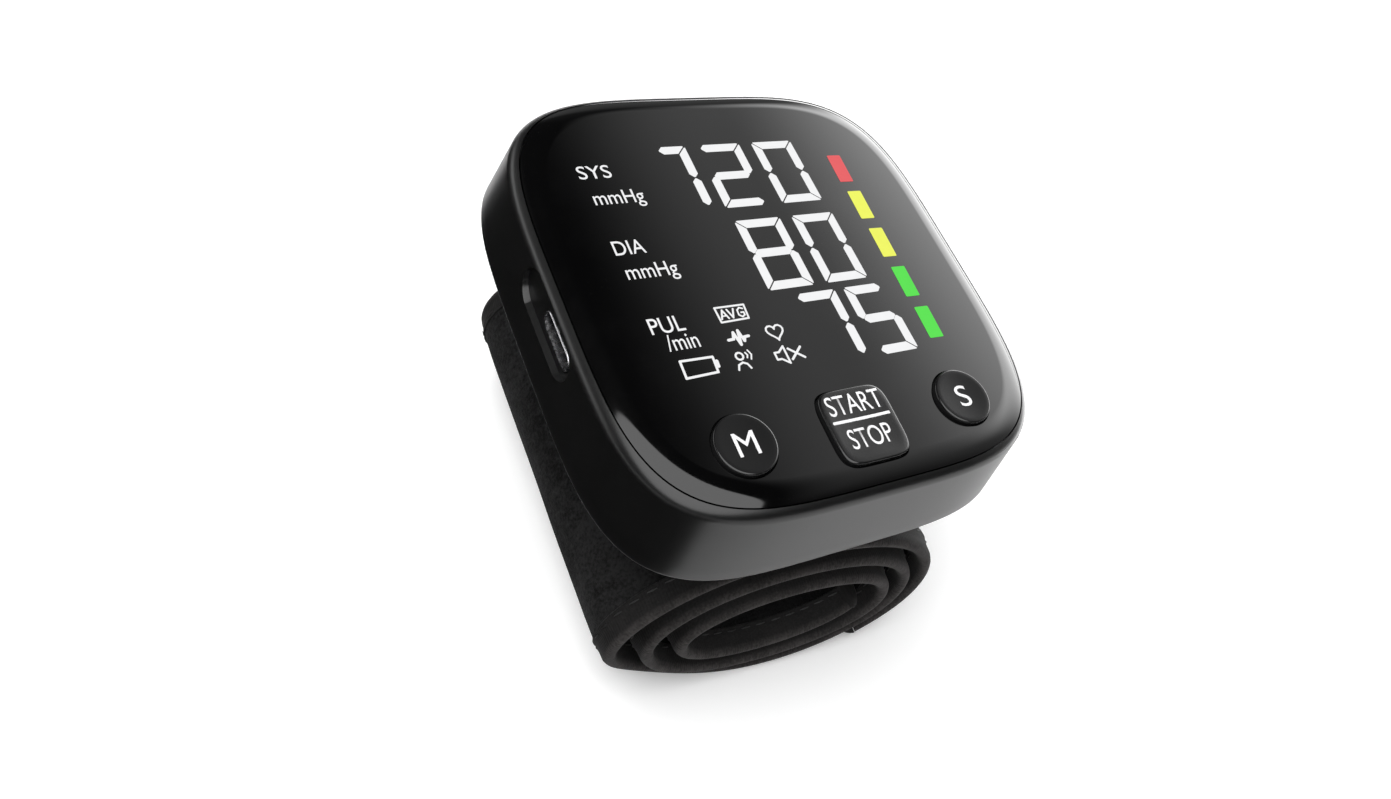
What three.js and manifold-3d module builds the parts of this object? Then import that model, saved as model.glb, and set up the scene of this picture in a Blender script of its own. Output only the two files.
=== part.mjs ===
// A wrist blood pressure monitor standing on its rolled-up cuff, in millimetres, +Z up.
// While it is built, the origin is the middle of the display's parting line: X runs across the display,
// Y runs up it and along the wrist, Z points out of it. The last lines move the origin to the floor.
import * as THREE from "three";
import { mergeVertices } from "three/addons/utils/BufferGeometryUtils.js";
import Module from "manifold-3d";

const wasm = await Module();
wasm.setup();

// Clearances.
const rubGap = 0.1;
const seatGap = 0.3;
const overrun = 1;
const weldGap = 1e-4;

// Display lens.
const lensHalfWidth = 33;
const lensHalfLength = 34.3;
const lensPower = 4.13;
const lensRise = 0.9;
const lensShoulder = 3.2;
const lensThickness = 1.6;
const lensSkirtDepth = 0.4;
const lensSkirtWidth = 1.4;

// Housing shell: a rim round the lens, and a wall that flares out towards the rear.
const rimWidth = 1.1;
const rimRound = 0.8;
const sideFlare = 1.1;
const endFlare = 2;
const rearPower = 4.34;
const housingDepth = 14.75;
const rearRound = 1.4;
const wallThickness = 1.9;
const gasketThickness = 0.3;
const ledgeWidth = 2.1;
const ledgeThickness = 1;

// Rear cover and its screws.
const coverThickness = 1.7;
const coverPadHeight = 1.2;
const screwHeadRadius = 1.8;
const screwHeadHeight = 1.2;
const screwShankRadius = 0.9;
const screwLength = 6;
const bossRadius = 2.5;
const bossRibThickness = 1.6;
const screwPlaceShares = [0.7, 0.71];
const screwPadWallShare = 1.9;

// Buttons.
const roundButtonRadius = 4.35;
const roundButtonSideInset = 15.03;
const roundButtonEndInset = 8.88;
const startButtonHalf = 5.54;
const startButtonPower = 5;
const startButtonEndInset = 8.14;
const buttonProud = 1.1;
const buttonClearance = 0.25;
const buttonFlangeWidth = 0.55;
const buttonFlangeThickness = 0.8;
const buttonTravel = 0.35;
const buttonStemRadius = 1.6;
const buttonStemLength = 0.5;
const buttonDish = 0.35;

// Circuit board with its tact switches, chips and display.
const boardThickness = 1;
const boardClearance = 0.7;
const switchSide = 4.6;
const switchHeight = 1.6;
const switchPlungerRadius = 1;
const switchPlungerLength = 1;
const switchBoreDepth = 1.1;
const displaySideMargin = 6;
const displayTopMargin = 7.1;
const displayFootMargin = 15.5;
const displayCorner = 6;
const diffuserThickness = 0.3;
const boardPostRadius = 1.4;
const processorSide = 10;
const processorHeight = 1.2;
const connectorWidth = 8;
const connectorDepth = 4;
const connectorHeight = 3;

// Charging socket in the left wall.
const socketY = -3.4;
const socketDrop = 1.48;
const socketWidth = 8.94;
const socketHeight = 3.26;
const socketLength = 7.3;
const socketWall = 0.3;
const socketTongueWidth = 6.7;
const socketTongueThickness = 0.7;
const scoopLength = 16;
const scoopHeight = 5.5;
const scoopY = -0.5;
const scoopDepth = 0.72;

// Battery, speaker, pump, valve and sensor.
const batteryWidth = 33;
const batteryThickness = 5.4;
const batteryMargin = 0.9;
const batteryEndMargin = 7.9;
const tapeThickness = 0.7;
const speakerRadius = 6.5;
const speakerHeight = 3;
const speakerSideInset = 15.5;
const airLineEndInset = 21.7;
const motorSideInset = 6.4;
const airLineRadius = 1.7;
const airBoreRadius = 0.8;
const manifoldLength = 4.9;
const manifoldRadius = 2.6;
const manifoldHeight = 3.4;
const motorRadius = 3.7;
const motorLength = 14;
const shaftRadius = 0.5;
const shaftClearance = 0.1;
const shaftPocketDepth = 2;
const crankRadius = 2.2;
const crankThrow = 0.5;
const crankWidth = 2;
const crankSpace = 1.1;
const pumpHeadSide = 7.2;
const pumpHeadLength = 5.6;
const pumpArmThickness = 0.6;
const valveLength = 9;
const valveSide = 7.4;
const valveBoreRadius = 1.5;
const valveEndWall = 1;
const plungerClearance = 0.2;
const plungerFlangeRadius = 2;
const plungerFlangeThickness = 0.8;
const plungerTravel = 0.6;
const sensorSide = 4.6;
const sensorHeight = 1.9;
const sensorNozzleLength = 1.1;
const nozzleRadius = 1.5;
const nozzleBoreRadius = 0.7;

// Saddle plate that carries the cuff.
const saddleWidth = 28;
const saddleLength = 40;
const saddleThickness = 2.6;
const saddleX = -4.4;
const lugWidth = 8;
const lugThickness = 2.4;
const lugBarb = 0.7;

// Cuff: one padded strip wound in an oval spiral, seen from the near end clockwise from its inner end.
const cuffTurns = 3.056;
const cuffStartAngle = -20;
const cuffStationsPerTurn = 30;
const cuffPower = 2.05;
const rollCentreX = -1.52;
const rollDriftX = -0.55;
const rollHalfWidth = 15.05;
const rollHalfHeight = 6.1;
const rollGapAcross = 1.55;
const rollGapUp = 0.78;
const bindingThickness = 3.2;
const bindingWidth = 4;
const sleeveThickness = 0.65;
const sleeveInset = 0.2;
const curlerThickness = 0.5;
const bladderThickness = 0.6;
const layerGap = 0.15;
const hemWidth = 2.4;
const hookPatchThickness = 0.4;
const hookPatchMargin = 5;
const cuffNearInset = 1.9;
const cuffFarInset = 13.2;
const nearSlantShare = 0.2;
const nearSkewShare = -0.06;
const farFlareShare = 0.08;
const telescopeStep = 0.55;
const flapRecess = 1.2;
const flapTurnShare = 0.45;
const tuckDepth = 2.2;
const tuckTurnShare = 2.33;
const tuckSpreadShare = 0.1;
const footFlat = 0.5;
const curlerTurnRange = [0.6, 2.9];
const bladderTurnRange = [1.3, 2.933];
const hookTurnRange = [2.767, 3.0];

// Facet counts.
const outlineSides = 60;
const roundSides = 32;
const smallSides = 16;
const holeSides = 12;
const cornerSides = 6;
const endSides = 10;

// Geometry helpers.
function superellipse(halfX, halfY, power, sides = outlineSides) {
  const points = [];
  for (let i = 0; i < sides; i++) {
    const angle = (2 * Math.PI * i) / sides;
    const c = Math.cos(angle);
    const s = Math.sin(angle);
    points.push([
      halfX * Math.sign(c) * Math.abs(c) ** (2 / power),
      halfY * Math.sign(s) * Math.abs(s) ** (2 / power),
    ]);
  }
  return points;
}

function signedVolume(positions, triangles) {
  let volume = 0;
  const [a, b, c] = [new THREE.Vector3(), new THREE.Vector3(), new THREE.Vector3()];
  for (let i = 0; i < triangles.length; i += 3) {
    a.fromArray(positions, 3 * triangles[i]);
    b.fromArray(positions, 3 * triangles[i + 1]);
    c.fromArray(positions, 3 * triangles[i + 2]);
    volume += a.dot(b.cross(c)) / 6;
  }
  return volume;
}

// A closed skin over rings of the same number of points, with a flat fan over the first and the last.
function loft(rings) {
  const count = rings[0].length;
  const positions = rings.flat(2);
  const triangles = [];
  for (let r = 0; r + 1 < rings.length; r++) {
    for (let i = 0; i < count; i++) {
      const next = (i + 1) % count;
      const [p, q] = [r * count + i, r * count + next];
      triangles.push(p, q, q + count, p, q + count, p + count);
    }
  }
  for (const [ring, turned] of [[0, true], [rings.length - 1, false]]) {
    const middle = positions.length / 3;
    const sumOf = (axis) => rings[ring].reduce((sum, point) => sum + point[axis], 0);
    positions.push(...rings[ring][0].map((_, axis) => sumOf(axis) / count));
    for (let i = 0; i < count; i++) {
      const [p, q] = [ring * count + i, ring * count + ((i + 1) % count)];
      triangles.push(middle, turned ? q : p, turned ? p : q);
    }
  }
  if (signedVolume(positions, triangles) < 0) triangles.reverse();
  const geometry = new THREE.BufferGeometry();
  geometry.setAttribute("position", new THREE.Float32BufferAttribute(positions, 3));
  geometry.setIndex(triangles);
  return geometry;
}

// Rings of a superellipse at [height, half width, half length, power], lowest first.
function superLoft(levels, sides = outlineSides) {
  return loft(
    levels.map(([z, halfX, halfY, power]) =>
      superellipse(halfX, halfY, power, sides).map(([x, y]) => [x, y, z]),
    ),
  );
}

function polygonPrism(points, bottom, top) {
  const shape = new THREE.Shape(points.map(([x, y]) => new THREE.Vector2(x, y)));
  const geometry = new THREE.ExtrudeGeometry(shape, { depth: top - bottom, bevelEnabled: false });
  return geometry.translate(0, 0, bottom);
}

function roundedPlate(halfX, halfY, corner, bottom, top) {
  const points = [];
  [[1, 1], [-1, 1], [-1, -1], [1, -1]].forEach(([signX, signY], quarter) => {
    for (let i = 0; i <= cornerSides; i++) {
      const angle = ((quarter + i / cornerSides) * Math.PI) / 2;
      points.push([
        signX * (halfX - corner) + corner * Math.cos(angle),
        signY * (halfY - corner) + corner * Math.sin(angle),
      ]);
    }
  });
  return polygonPrism(points, bottom, top);
}

function box([lowX, lowY, lowZ], [highX, highY, highZ]) {
  const geometry = new THREE.BoxGeometry(highX - lowX, highY - lowY, highZ - lowZ);
  return geometry.translate((lowX + highX) / 2, (lowY + highY) / 2, (lowZ + highZ) / 2);
}

// A turned piece about Z from [radius, height] points that start and end on the axis.
function turned(profile, sides = roundSides) {
  const points = profile.map(([radius, height]) => new THREE.Vector2(radius, height));
  return new THREE.LatheGeometry(points, sides).rotateX(Math.PI / 2);
}

function rod(radius, bottom, top, sides = smallSides) {
  return turned([[0, bottom], [radius, bottom], [radius, top], [0, top]], sides);
}

function alongX(geometry, y, z) {
  return geometry.rotateY(Math.PI / 2).translate(0, y, z);
}

function solidOf(geometry) {
  const bare = geometry.clone();
  bare.deleteAttribute("normal");
  bare.deleteAttribute("uv");
  const merged = mergeVertices(bare, weldGap);
  const vertProperties = merged.attributes.position.array;
  const triVerts = new Uint32Array(merged.index.array);
  return new wasm.Manifold(new wasm.Mesh({ numProp: 3, vertProperties, triVerts }));
}

function geometryOf(solid) {
  const mesh = solid.getMesh();
  const geometry = new THREE.BufferGeometry();
  const positions = new Float32Array(mesh.numVert * 3);
  for (let i = 0; i < mesh.numVert; i++) {
    positions.set(mesh.vertProperties.subarray(i * mesh.numProp, i * mesh.numProp + 3), 3 * i);
  }
  geometry.setAttribute("position", new THREE.BufferAttribute(positions, 3));
  geometry.setIndex(new THREE.BufferAttribute(mesh.triVerts, 1));
  return geometry;
}

function cut(base, tools) {
  return geometryOf(tools.reduce((solid, tool) => solid.subtract(solidOf(tool)), solidOf(base)));
}

function join(pieces) {
  const [first, ...others] = pieces.map(solidOf);
  return geometryOf(others.reduce((solid, other) => solid.add(other), first));
}

function common(base, tool) {
  return geometryOf(solidOf(base).intersect(solidOf(tool)));
}

// Materials.
function finish(color, roughness, metalness = 0) {
  return new THREE.MeshStandardMaterial({ color, roughness, metalness });
}
const glossBlack = finish(0x08080a, 0.08);
const satinBlack = finish(0x1a1a1c, 0.42);
const housingGrey = finish(0x3a3b3e, 0.36);
const innerPlastic = finish(0xd8d6cf, 0.6);
const rubberBlack = finish(0x161616, 0.8);
const boardGreen = finish(0x1d5a38, 0.55);
const chipBlack = finish(0x141416, 0.5);
const bareSteel = finish(0xb9bcc0, 0.28, 1);
const cuffFabric = finish(0x55565a, 0.95);
const bindingFabric = finish(0x77777a, 0.9);
const clearPlastic = finish(0xb8c4cc, 0.25);
const paleSilicone = finish(0xc9c5bb, 0.7);
const batteryBlue = finish(0x3f6f9c, 0.45);

const monitor = new THREE.Group();
function add(name, geometry, material, holder = monitor) {
  const mesh = new THREE.Mesh(geometry, material);
  mesh.name = name;
  holder.add(mesh);
  return mesh;
}

// Outline of the housing at its rim and at its rear, and what is placed from it.
const rimHalfWidth = lensHalfWidth + seatGap + rimWidth;
const rimHalfLength = lensHalfLength + seatGap + rimWidth;
const rearHalfWidth = rimHalfWidth + sideFlare;
const rearHalfLength = rimHalfLength + endFlare;
const roundButtonX = lensHalfWidth - roundButtonSideInset;
const roundButtonY = roundButtonEndInset - lensHalfLength;
const startButtonY = startButtonEndInset - lensHalfLength;
const speakerX = rearHalfWidth - speakerSideInset;
const airLineY = airLineEndInset - rearHalfLength;
const cuffNearY = cuffNearInset - rearHalfLength;
const cuffFarY = rearHalfLength - cuffFarInset;
const saddleY = (cuffNearY + cuffFarY) / 2;

// Heights of the stack behind the lens, from the parting line down.
const lensUnderside = lensRise - lensThickness;
const skirtBottom = lensUnderside - lensSkirtDepth;
const ledgeTop = skirtBottom - gasketThickness;
const ledgeBottom = ledgeTop - ledgeThickness;
const flangeTop = lensUnderside - seatGap;
const flangeBottom = flangeTop - buttonFlangeThickness;
const stemBottom = flangeBottom - buttonStemLength;
const buttonTop = lensRise + buttonProud;
const switchTop = stemBottom - buttonTravel - rubGap / 2;
const boardTop = switchTop - switchHeight;
const boardBottom = boardTop - boardThickness;
const coverBottom = -housingDepth;
const coverTop = coverBottom + coverThickness;

// Front lens: a gloss panel with a soft shoulder, a skirt underneath and three button openings.
const shoulderSteps = 6;
const lensLevels = [[skirtBottom, lensHalfWidth, lensHalfLength, lensPower]];
for (let i = 0; i <= shoulderSteps; i++) {
  const angle = (Math.PI / 2) * (i / shoulderSteps);
  const inset = lensShoulder * (1 - Math.cos(angle));
  const height = lensRise * Math.sin(angle);
  lensLevels.push([height, lensHalfWidth - inset, lensHalfLength - inset, lensPower]);
}
const skirtHalfWidth = lensHalfWidth - lensSkirtWidth;
const skirtHalfLength = lensHalfLength - lensSkirtWidth;
const roundOpeningRadius = roundButtonRadius + buttonClearance;
const startOpeningHalf = startButtonHalf + buttonClearance;
add(
  "front_lens",
  cut(superLoft(lensLevels), [
    superLoft([
      [skirtBottom - overrun, skirtHalfWidth, skirtHalfLength, lensPower],
      [lensUnderside, skirtHalfWidth, skirtHalfLength, lensPower],
    ]),
    ...[-1, 1].map((side) =>
      rod(roundOpeningRadius, lensUnderside - overrun, lensRise + overrun, roundSides)
        .translate(side * roundButtonX, roundButtonY, 0),
    ),
    superLoft(
      [
        [lensUnderside - overrun, startOpeningHalf, startOpeningHalf, startButtonPower],
        [lensRise + overrun, startOpeningHalf, startOpeningHalf, startButtonPower],
      ],
      roundSides,
    ).translate(0, startButtonY, 0),
  ]),
  glossBlack,
);

// Lens gasket: a thin ring between the skirt and the ledge of the housing.
function ringBetween(outerHalf, innerHalf, bottom, top) {
  return cut(
    superLoft([[bottom, ...outerHalf, lensPower], [top, ...outerHalf, lensPower]]),
    [superLoft([[bottom - overrun, ...innerHalf, lensPower], [top + overrun, ...innerHalf, lensPower]])],
  );
}
add(
  "lens_gasket",
  ringBetween(
    [lensHalfWidth - rubGap, lensHalfLength - rubGap],
    [skirtHalfWidth + rubGap, skirtHalfLength + rubGap],
    ledgeTop,
    skirtBottom,
  ),
  rubberBlack,
);

// Main housing: rim, flared wall, ledge for the lens, board posts, screw bosses and the socket's scoop.
const wallTop = -rimRound;
const wallBottom = coverBottom + rearRound;
function wallHalf(z) {
  const share = (wallTop - z) / (wallTop - wallBottom);
  return [
    THREE.MathUtils.lerp(rimHalfWidth, rearHalfWidth, share),
    THREE.MathUtils.lerp(rimHalfLength, rearHalfLength, share),
    THREE.MathUtils.lerp(lensPower, rearPower, share),
  ];
}
function insetLevel(z, inset) {
  const [halfX, halfY, power] = wallHalf(z);
  return [z, halfX - inset, halfY - inset, power];
}
const roundSteps = 3;
const housingLevels = [];
for (let i = 0; i <= roundSteps; i++) {
  const angle = (Math.PI / 2) * (i / roundSteps);
  const [halfX, halfY, power] = wallHalf(wallBottom);
  const inset = rearRound * (1 - Math.sin(angle));
  housingLevels.push([wallBottom - rearRound * Math.cos(angle), halfX - inset, halfY - inset, power]);
}
for (let i = 0; i <= roundSteps; i++) {
  const angle = (Math.PI / 2) * (i / roundSteps);
  const inset = rimRound * (1 - Math.cos(angle));
  housingLevels.push([
    wallTop + rimRound * Math.sin(angle),
    rimHalfWidth - inset,
    rimHalfLength - inset,
    lensPower,
  ]);
}
const mouthHalf = [lensHalfWidth + seatGap, lensHalfLength + seatGap];
const ledgeHalf = [mouthHalf[0] - ledgeWidth, mouthHalf[1] - ledgeWidth];
const socketZ = boardTop - socketDrop + socketHeight / 2;
const socketMouthX = scoopDepth - wallHalf(socketZ)[0];
const socketEndX = socketMouthX + socketLength;
const cavityAtBoard = insetLevel(boardTop, wallThickness);
const screwPlaces = [[1, 1], [-1, 1], [-1, -1], [1, -1]].map(([signX, signY]) => [
  signX * screwPlaceShares[0] * rearHalfWidth,
  signY * screwPlaceShares[1] * rearHalfLength,
]);
const boardHalf = [cavityAtBoard[1] - boardClearance, cavityAtBoard[2] - boardClearance];
const boardPostPlaceShares = [[1, 0.42], [1, -0.42], [-1, 0.42], [-1, -0.42], [0, 1]];
const boardPostPlaces = boardPostPlaceShares.map(([shareX, shareY]) => [
  shareX * (boardHalf[0] - rubGap),
  shareY * (boardHalf[1] - boardPostRadius / 2),
]);
const screwHeadSeat = coverBottom + screwHeadHeight + rubGap * 2;
const padTop = coverTop + coverPadHeight;
const bossBottom = padTop + seatGap;
const screwTip = screwHeadSeat + screwLength;
const shankHoleRadius = screwShankRadius + plungerClearance;
function stadiumAlongX(length, height, lowX, highX) {
  const straight = length / 2 - height / 2;
  const points = [];
  for (const side of [1, -1]) {
    for (let i = 0; i <= endSides; i++) {
      const angle = (Math.PI / 2) * (1 - (2 * i) / endSides) + (side < 0 ? Math.PI : 0);
      points.push([side * straight + (height / 2) * Math.cos(angle), (height / 2) * Math.sin(angle)]);
    }
  }
  const outline = THREE.ShapeUtils.area(points.map(([x, y]) => new THREE.Vector2(x, y))) < 0
    ? points.reverse()
    : points;
  return polygonPrism(outline, lowX, highX).applyMatrix4(
    new THREE.Matrix4().makeBasis(
      new THREE.Vector3(0, 1, 0),
      new THREE.Vector3(0, 0, 1),
      new THREE.Vector3(1, 0, 0),
    ),
  );
}
function boss([x, y]) {
  const angle = Math.atan2(y, x);
  const rib = box(
    [0, -bossRibThickness / 2, bossBottom],
    [bossRadius + 2 * wallThickness, bossRibThickness / 2, ledgeBottom],
  );
  return [
    rod(bossRadius, bossBottom, ledgeBottom, roundSides).translate(x, y, 0),
    rib.rotateZ(angle).translate(x, y, 0),
  ];
}
const housingOuter = superLoft(housingLevels);
const housingShell = cut(housingOuter, [
  superLoft([[ledgeTop, ...mouthHalf, lensPower], [overrun, ...mouthHalf, lensPower]]),
  superLoft([
    [ledgeBottom - overrun, ...ledgeHalf, lensPower],
    [ledgeTop + overrun, ...ledgeHalf, lensPower],
  ]),
  superLoft([
    insetLevel(coverBottom - overrun, wallThickness),
    insetLevel(ledgeBottom, wallThickness),
  ]),
]);
const ledgeHold = common(
  housingOuter,
  join([
    ...boardPostPlaces.map(([x, y]) =>
      rod(boardPostRadius, boardTop, ledgeBottom + ledgeThickness / 2).translate(x, y, 0),
    ),
    ...screwPlaces.flatMap(boss),
  ]),
);
const scoopFloor = socketMouthX;
add(
  "main_housing",
  cut(join([housingShell, ledgeHold]), [
    stadiumAlongX(scoopLength, scoopHeight, scoopFloor - rearHalfWidth, scoopFloor)
      .translate(0, scoopY, socketZ),
    stadiumAlongX(
      socketWidth + 2 * seatGap,
      socketHeight + 2 * seatGap,
      scoopFloor - overrun,
      scoopFloor + 2 * wallThickness,
    ).translate(0, socketY, socketZ),
    ...screwPlaces.map(([x, y]) =>
      rod(shankHoleRadius, bossBottom - overrun, screwTip + rubGap).translate(x, y, 0),
    ),
  ]),
  housingGrey,
);

// Buttons: a dished cap with a flange under the lens and a stem down to the switch.
const dishShare = 0.8;
function roundButton() {
  const cap = roundButtonRadius;
  const round = buttonDish;
  return turned([
    [0, stemBottom],
    [buttonStemRadius, stemBottom],
    [buttonStemRadius, flangeBottom],
    [cap + buttonFlangeWidth, flangeBottom],
    [cap + buttonFlangeWidth, flangeTop],
    [cap, flangeTop],
    [cap, buttonTop - round],
    [cap - round * (1 - Math.SQRT1_2), buttonTop - round * (1 - Math.SQRT1_2)],
    [cap - round, buttonTop],
    [cap - 2 * round, buttonTop - round / 4],
    [cap / 2, buttonTop - round * dishShare],
    [0, buttonTop - round],
  ]);
}
const buttonPlaces = [
  ["memory", -roundButtonX, roundButtonY],
  ["start_stop", 0, startButtonY],
  ["set", roundButtonX, roundButtonY],
];
function startButton() {
  const half = startButtonHalf;
  const round = buttonDish;
  const cap = superLoft(
    [
      [flangeTop, half, half, startButtonPower],
      [buttonTop - round, half, half, startButtonPower],
      [
        buttonTop - round * (1 - Math.SQRT1_2),
        half - round * (1 - Math.SQRT1_2),
        half - round * (1 - Math.SQRT1_2),
        startButtonPower,
      ],
      [buttonTop, half - round, half - round, startButtonPower],
      [buttonTop - round / 4, half - 2 * round, half - 2 * round, startButtonPower],
      [buttonTop - round * dishShare, half / 2, half / 2, startButtonPower],
    ],
    roundSides,
  );
  const flange = superLoft(
    [
      [flangeBottom, half + buttonFlangeWidth, half + buttonClearance, startButtonPower],
      [flangeTop, half + buttonFlangeWidth, half + buttonClearance, startButtonPower],
    ],
    roundSides,
  );
  return join([cap, flange, rod(buttonStemRadius, stemBottom, flangeBottom)]);
}
for (const [name, x, y] of buttonPlaces) {
  const geometry = name === "start_stop" ? startButton() : roundButton();
  add(name + "_button", geometry, satinBlack).position.set(x, y, 0);
}

// Tact switches on the board and their plungers under the button stems.
for (const [name, x, y] of buttonPlaces) {
  const half = switchSide / 2;
  const bodySolid = cut(box([-half, -half, boardTop], [half, half, switchTop]), [
    rod(switchPlungerRadius + plungerClearance, switchTop - switchBoreDepth, switchTop + overrun),
  ]);
  add(name + "_switch", bodySolid, chipBlack).position.set(x, y, 0);
  const plunger = rod(switchPlungerRadius, stemBottom - switchPlungerLength, stemBottom);
  add(name + "_switch_plunger", plunger, innerPlastic).position.set(x, y, 0);
}

// Main circuit board: notched round the bosses and the charging socket.
add(
  "main_circuit_board",
  cut(
    superLoft([
      [boardBottom, ...boardHalf, lensPower],
      [boardTop, ...boardHalf, lensPower],
    ]),
    [
      ...screwPlaces.map(([x, y]) =>
        rod(bossRadius + seatGap, boardBottom - overrun, boardTop + overrun, roundSides)
          .translate(x, y, 0),
      ),
      ...screwPlaces.map(([x, y]) =>
        box(
          [0, -bossRibThickness / 2 - seatGap, boardBottom - overrun],
          [bossRadius + 4 * wallThickness, bossRibThickness / 2 + seatGap, boardTop + overrun],
        )
          .rotateZ(Math.atan2(y, x))
          .translate(x, y, 0),
      ),
      box(
        [-rearHalfWidth, socketY - socketWidth / 2 - seatGap, boardBottom - overrun],
        [socketEndX + seatGap, socketY + socketWidth / 2 + seatGap, boardTop + overrun],
      ),
    ],
  ),
  boardGreen,
);

// Display module behind the lens, with its diffuser sheet on top.
const diffuserBottom = ledgeTop - gasketThickness / 2;
const displayTop = diffuserBottom;
const displayHalfWidth = ledgeHalf[0] - displaySideMargin;
const displayHalfLength = ledgeHalf[1] - (displayTopMargin + displayFootMargin) / 2;
const displayY = (displayFootMargin - displayTopMargin) / 2;
add(
  "display_module",
  roundedPlate(displayHalfWidth, displayHalfLength, displayCorner, boardTop, displayTop)
    .translate(0, displayY, 0),
  innerPlastic,
);
add(
  "display_diffuser",
  roundedPlate(
    displayHalfWidth - rubGap,
    displayHalfLength - rubGap,
    displayCorner,
    diffuserBottom,
    diffuserBottom + diffuserThickness,
  ).translate(0, displayY, 0),
  clearPlastic,
);

// Chips under the board.
const processorPlaceShares = [-0.6, 0.5];
const processorX = processorPlaceShares[0] * boardHalf[0];
const processorY = processorPlaceShares[1] * boardHalf[1];
add(
  "microcontroller",
  box(
    [processorX - processorSide / 2, processorY - processorSide / 2, boardBottom - processorHeight],
    [processorX + processorSide / 2, processorY + processorSide / 2, boardBottom],
  ),
  chipBlack,
);
const connectorPlaceShares = [-0.58, 0.12];
const connectorX = connectorPlaceShares[0] * boardHalf[0];
const connectorY = connectorPlaceShares[1] * boardHalf[1];
add(
  "battery_connector",
  cut(
    box(
      [connectorX - connectorDepth / 2, connectorY - connectorWidth / 2, boardBottom - connectorHeight],
      [connectorX + connectorDepth / 2, connectorY + connectorWidth / 2, boardBottom],
    ),
    [
      box(
        [
          connectorX,
          connectorY - connectorWidth / 2 + socketWall * 2,
          boardBottom - connectorHeight + socketWall * 2,
        ],
        [
          connectorX + connectorDepth,
          connectorY + connectorWidth / 2 - socketWall * 2,
          boardBottom - socketWall * 2,
        ],
      ),
    ],
  ),
  innerPlastic,
);

// Charging socket: a rolled steel shell round a contact block with its tongue.
add(
  "usb_c_receptacle",
  cut(stadiumAlongX(socketWidth, socketHeight, socketMouthX, socketEndX), [
    stadiumAlongX(
      socketWidth - 2 * socketWall,
      socketHeight - 2 * socketWall,
      socketMouthX - overrun,
      socketEndX + overrun,
    ),
  ]).translate(0, socketY, socketZ),
  bareSteel,
);
const contactGap = socketWall + rubGap;
const contactBlockShare = 0.27;
add(
  "usb_c_contact_block",
  join([
    stadiumAlongX(
      socketWidth - 2 * contactGap,
      socketHeight - 2 * contactGap,
      socketEndX - contactBlockShare * socketLength,
      socketEndX,
    ),
    box(
      [socketMouthX + 2 * socketWall, -socketTongueWidth / 2, -socketTongueThickness / 2],
      [socketEndX - socketWall, socketTongueWidth / 2, socketTongueThickness / 2],
    ),
  ]).translate(0, socketY, socketZ),
  chipBlack,
);

// Battery pack on foam tape, and the speaker behind its sound holes.
const tapeTop = coverTop + tapeThickness;
const padRadius = screwPadWallShare * screwHeadRadius;
const batteryRight = screwPlaces[0][0] - padRadius - batteryMargin;
const batteryX = batteryRight - batteryWidth / 2;
const batteryTop = rearHalfLength - wallThickness - batteryEndMargin;
const batteryFoot = airLineY + motorRadius + motorSideInset;
const batteryLength = batteryTop - batteryFoot;
const batteryY = (batteryTop + batteryFoot) / 2;
add(
  "battery_foam_tape",
  box(
    [batteryX - batteryWidth / 2 + tapeThickness, batteryY - batteryLength / 2 + tapeThickness, coverTop],
    [batteryX + batteryWidth / 2 - tapeThickness, batteryY + batteryLength / 2 - tapeThickness, tapeTop],
  ),
  rubberBlack,
);
add(
  "battery_pack",
  roundedPlate(batteryWidth / 2, batteryLength / 2, tapeThickness, tapeTop, tapeTop + batteryThickness)
    .translate(batteryX, batteryY, 0),
  batteryBlue,
);
const speakerBottom = coverTop + rubGap;
const speakerRimShare = 0.8;
const speakerStepShare = 0.6;
const speakerBackShare = 0.7;
add(
  "speaker",
  turned([
    [0, speakerBottom + speakerHeight / 3],
    [speakerRadius * speakerRimShare, speakerBottom + speakerHeight / 3],
    [speakerRadius * speakerRimShare, speakerBottom],
    [speakerRadius, speakerBottom],
    [speakerRadius, speakerBottom + speakerHeight * speakerStepShare],
    [speakerRadius * speakerBackShare, speakerBottom + speakerHeight * speakerStepShare],
    [speakerRadius * speakerBackShare, speakerBottom + speakerHeight],
    [0, speakerBottom + speakerHeight],
  ]).translate(speakerX, airLineY, 0),
  chipBlack,
);

// Air line along X: motor, crank, pump head, manifold and release valve.
const airLineZ = (boardBottom + coverTop) / 2;
const motorLeft = motorSideInset - rearHalfWidth;
const motorRight = motorLeft + motorLength;
const crankLeft = motorRight + crankSpace;
const crankRight = crankLeft + crankWidth;
const headLeft = crankRight + crankSpace;
const headRight = headLeft + pumpHeadLength;
const manifoldLeft = headRight + seatGap;
const manifoldRight = manifoldLeft + manifoldLength;
const airLineX = (manifoldLeft + manifoldRight) / 2;
const shaftPocketRadius = shaftRadius + shaftClearance;
const shaftEndInset = 0.9;
add(
  "pump_motor",
  alongX(
    cut(rod(motorRadius, motorLeft, motorRight, roundSides), [
      rod(shaftPocketRadius, motorRight - shaftPocketDepth, motorRight + overrun),
    ]),
    airLineY,
    airLineZ,
  ),
  bareSteel,
);
add(
  "pump_rotor",
  alongX(
    join([
      rod(shaftRadius, motorRight - shaftPocketDepth + seatGap, headLeft + shaftEndInset),
      rod(crankRadius, crankLeft, crankRight, roundSides).translate(crankThrow, 0, 0),
    ]),
    airLineY,
    airLineZ,
  ),
  bareSteel,
);
const armInner = crankRadius + crankThrow + seatGap;
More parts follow.
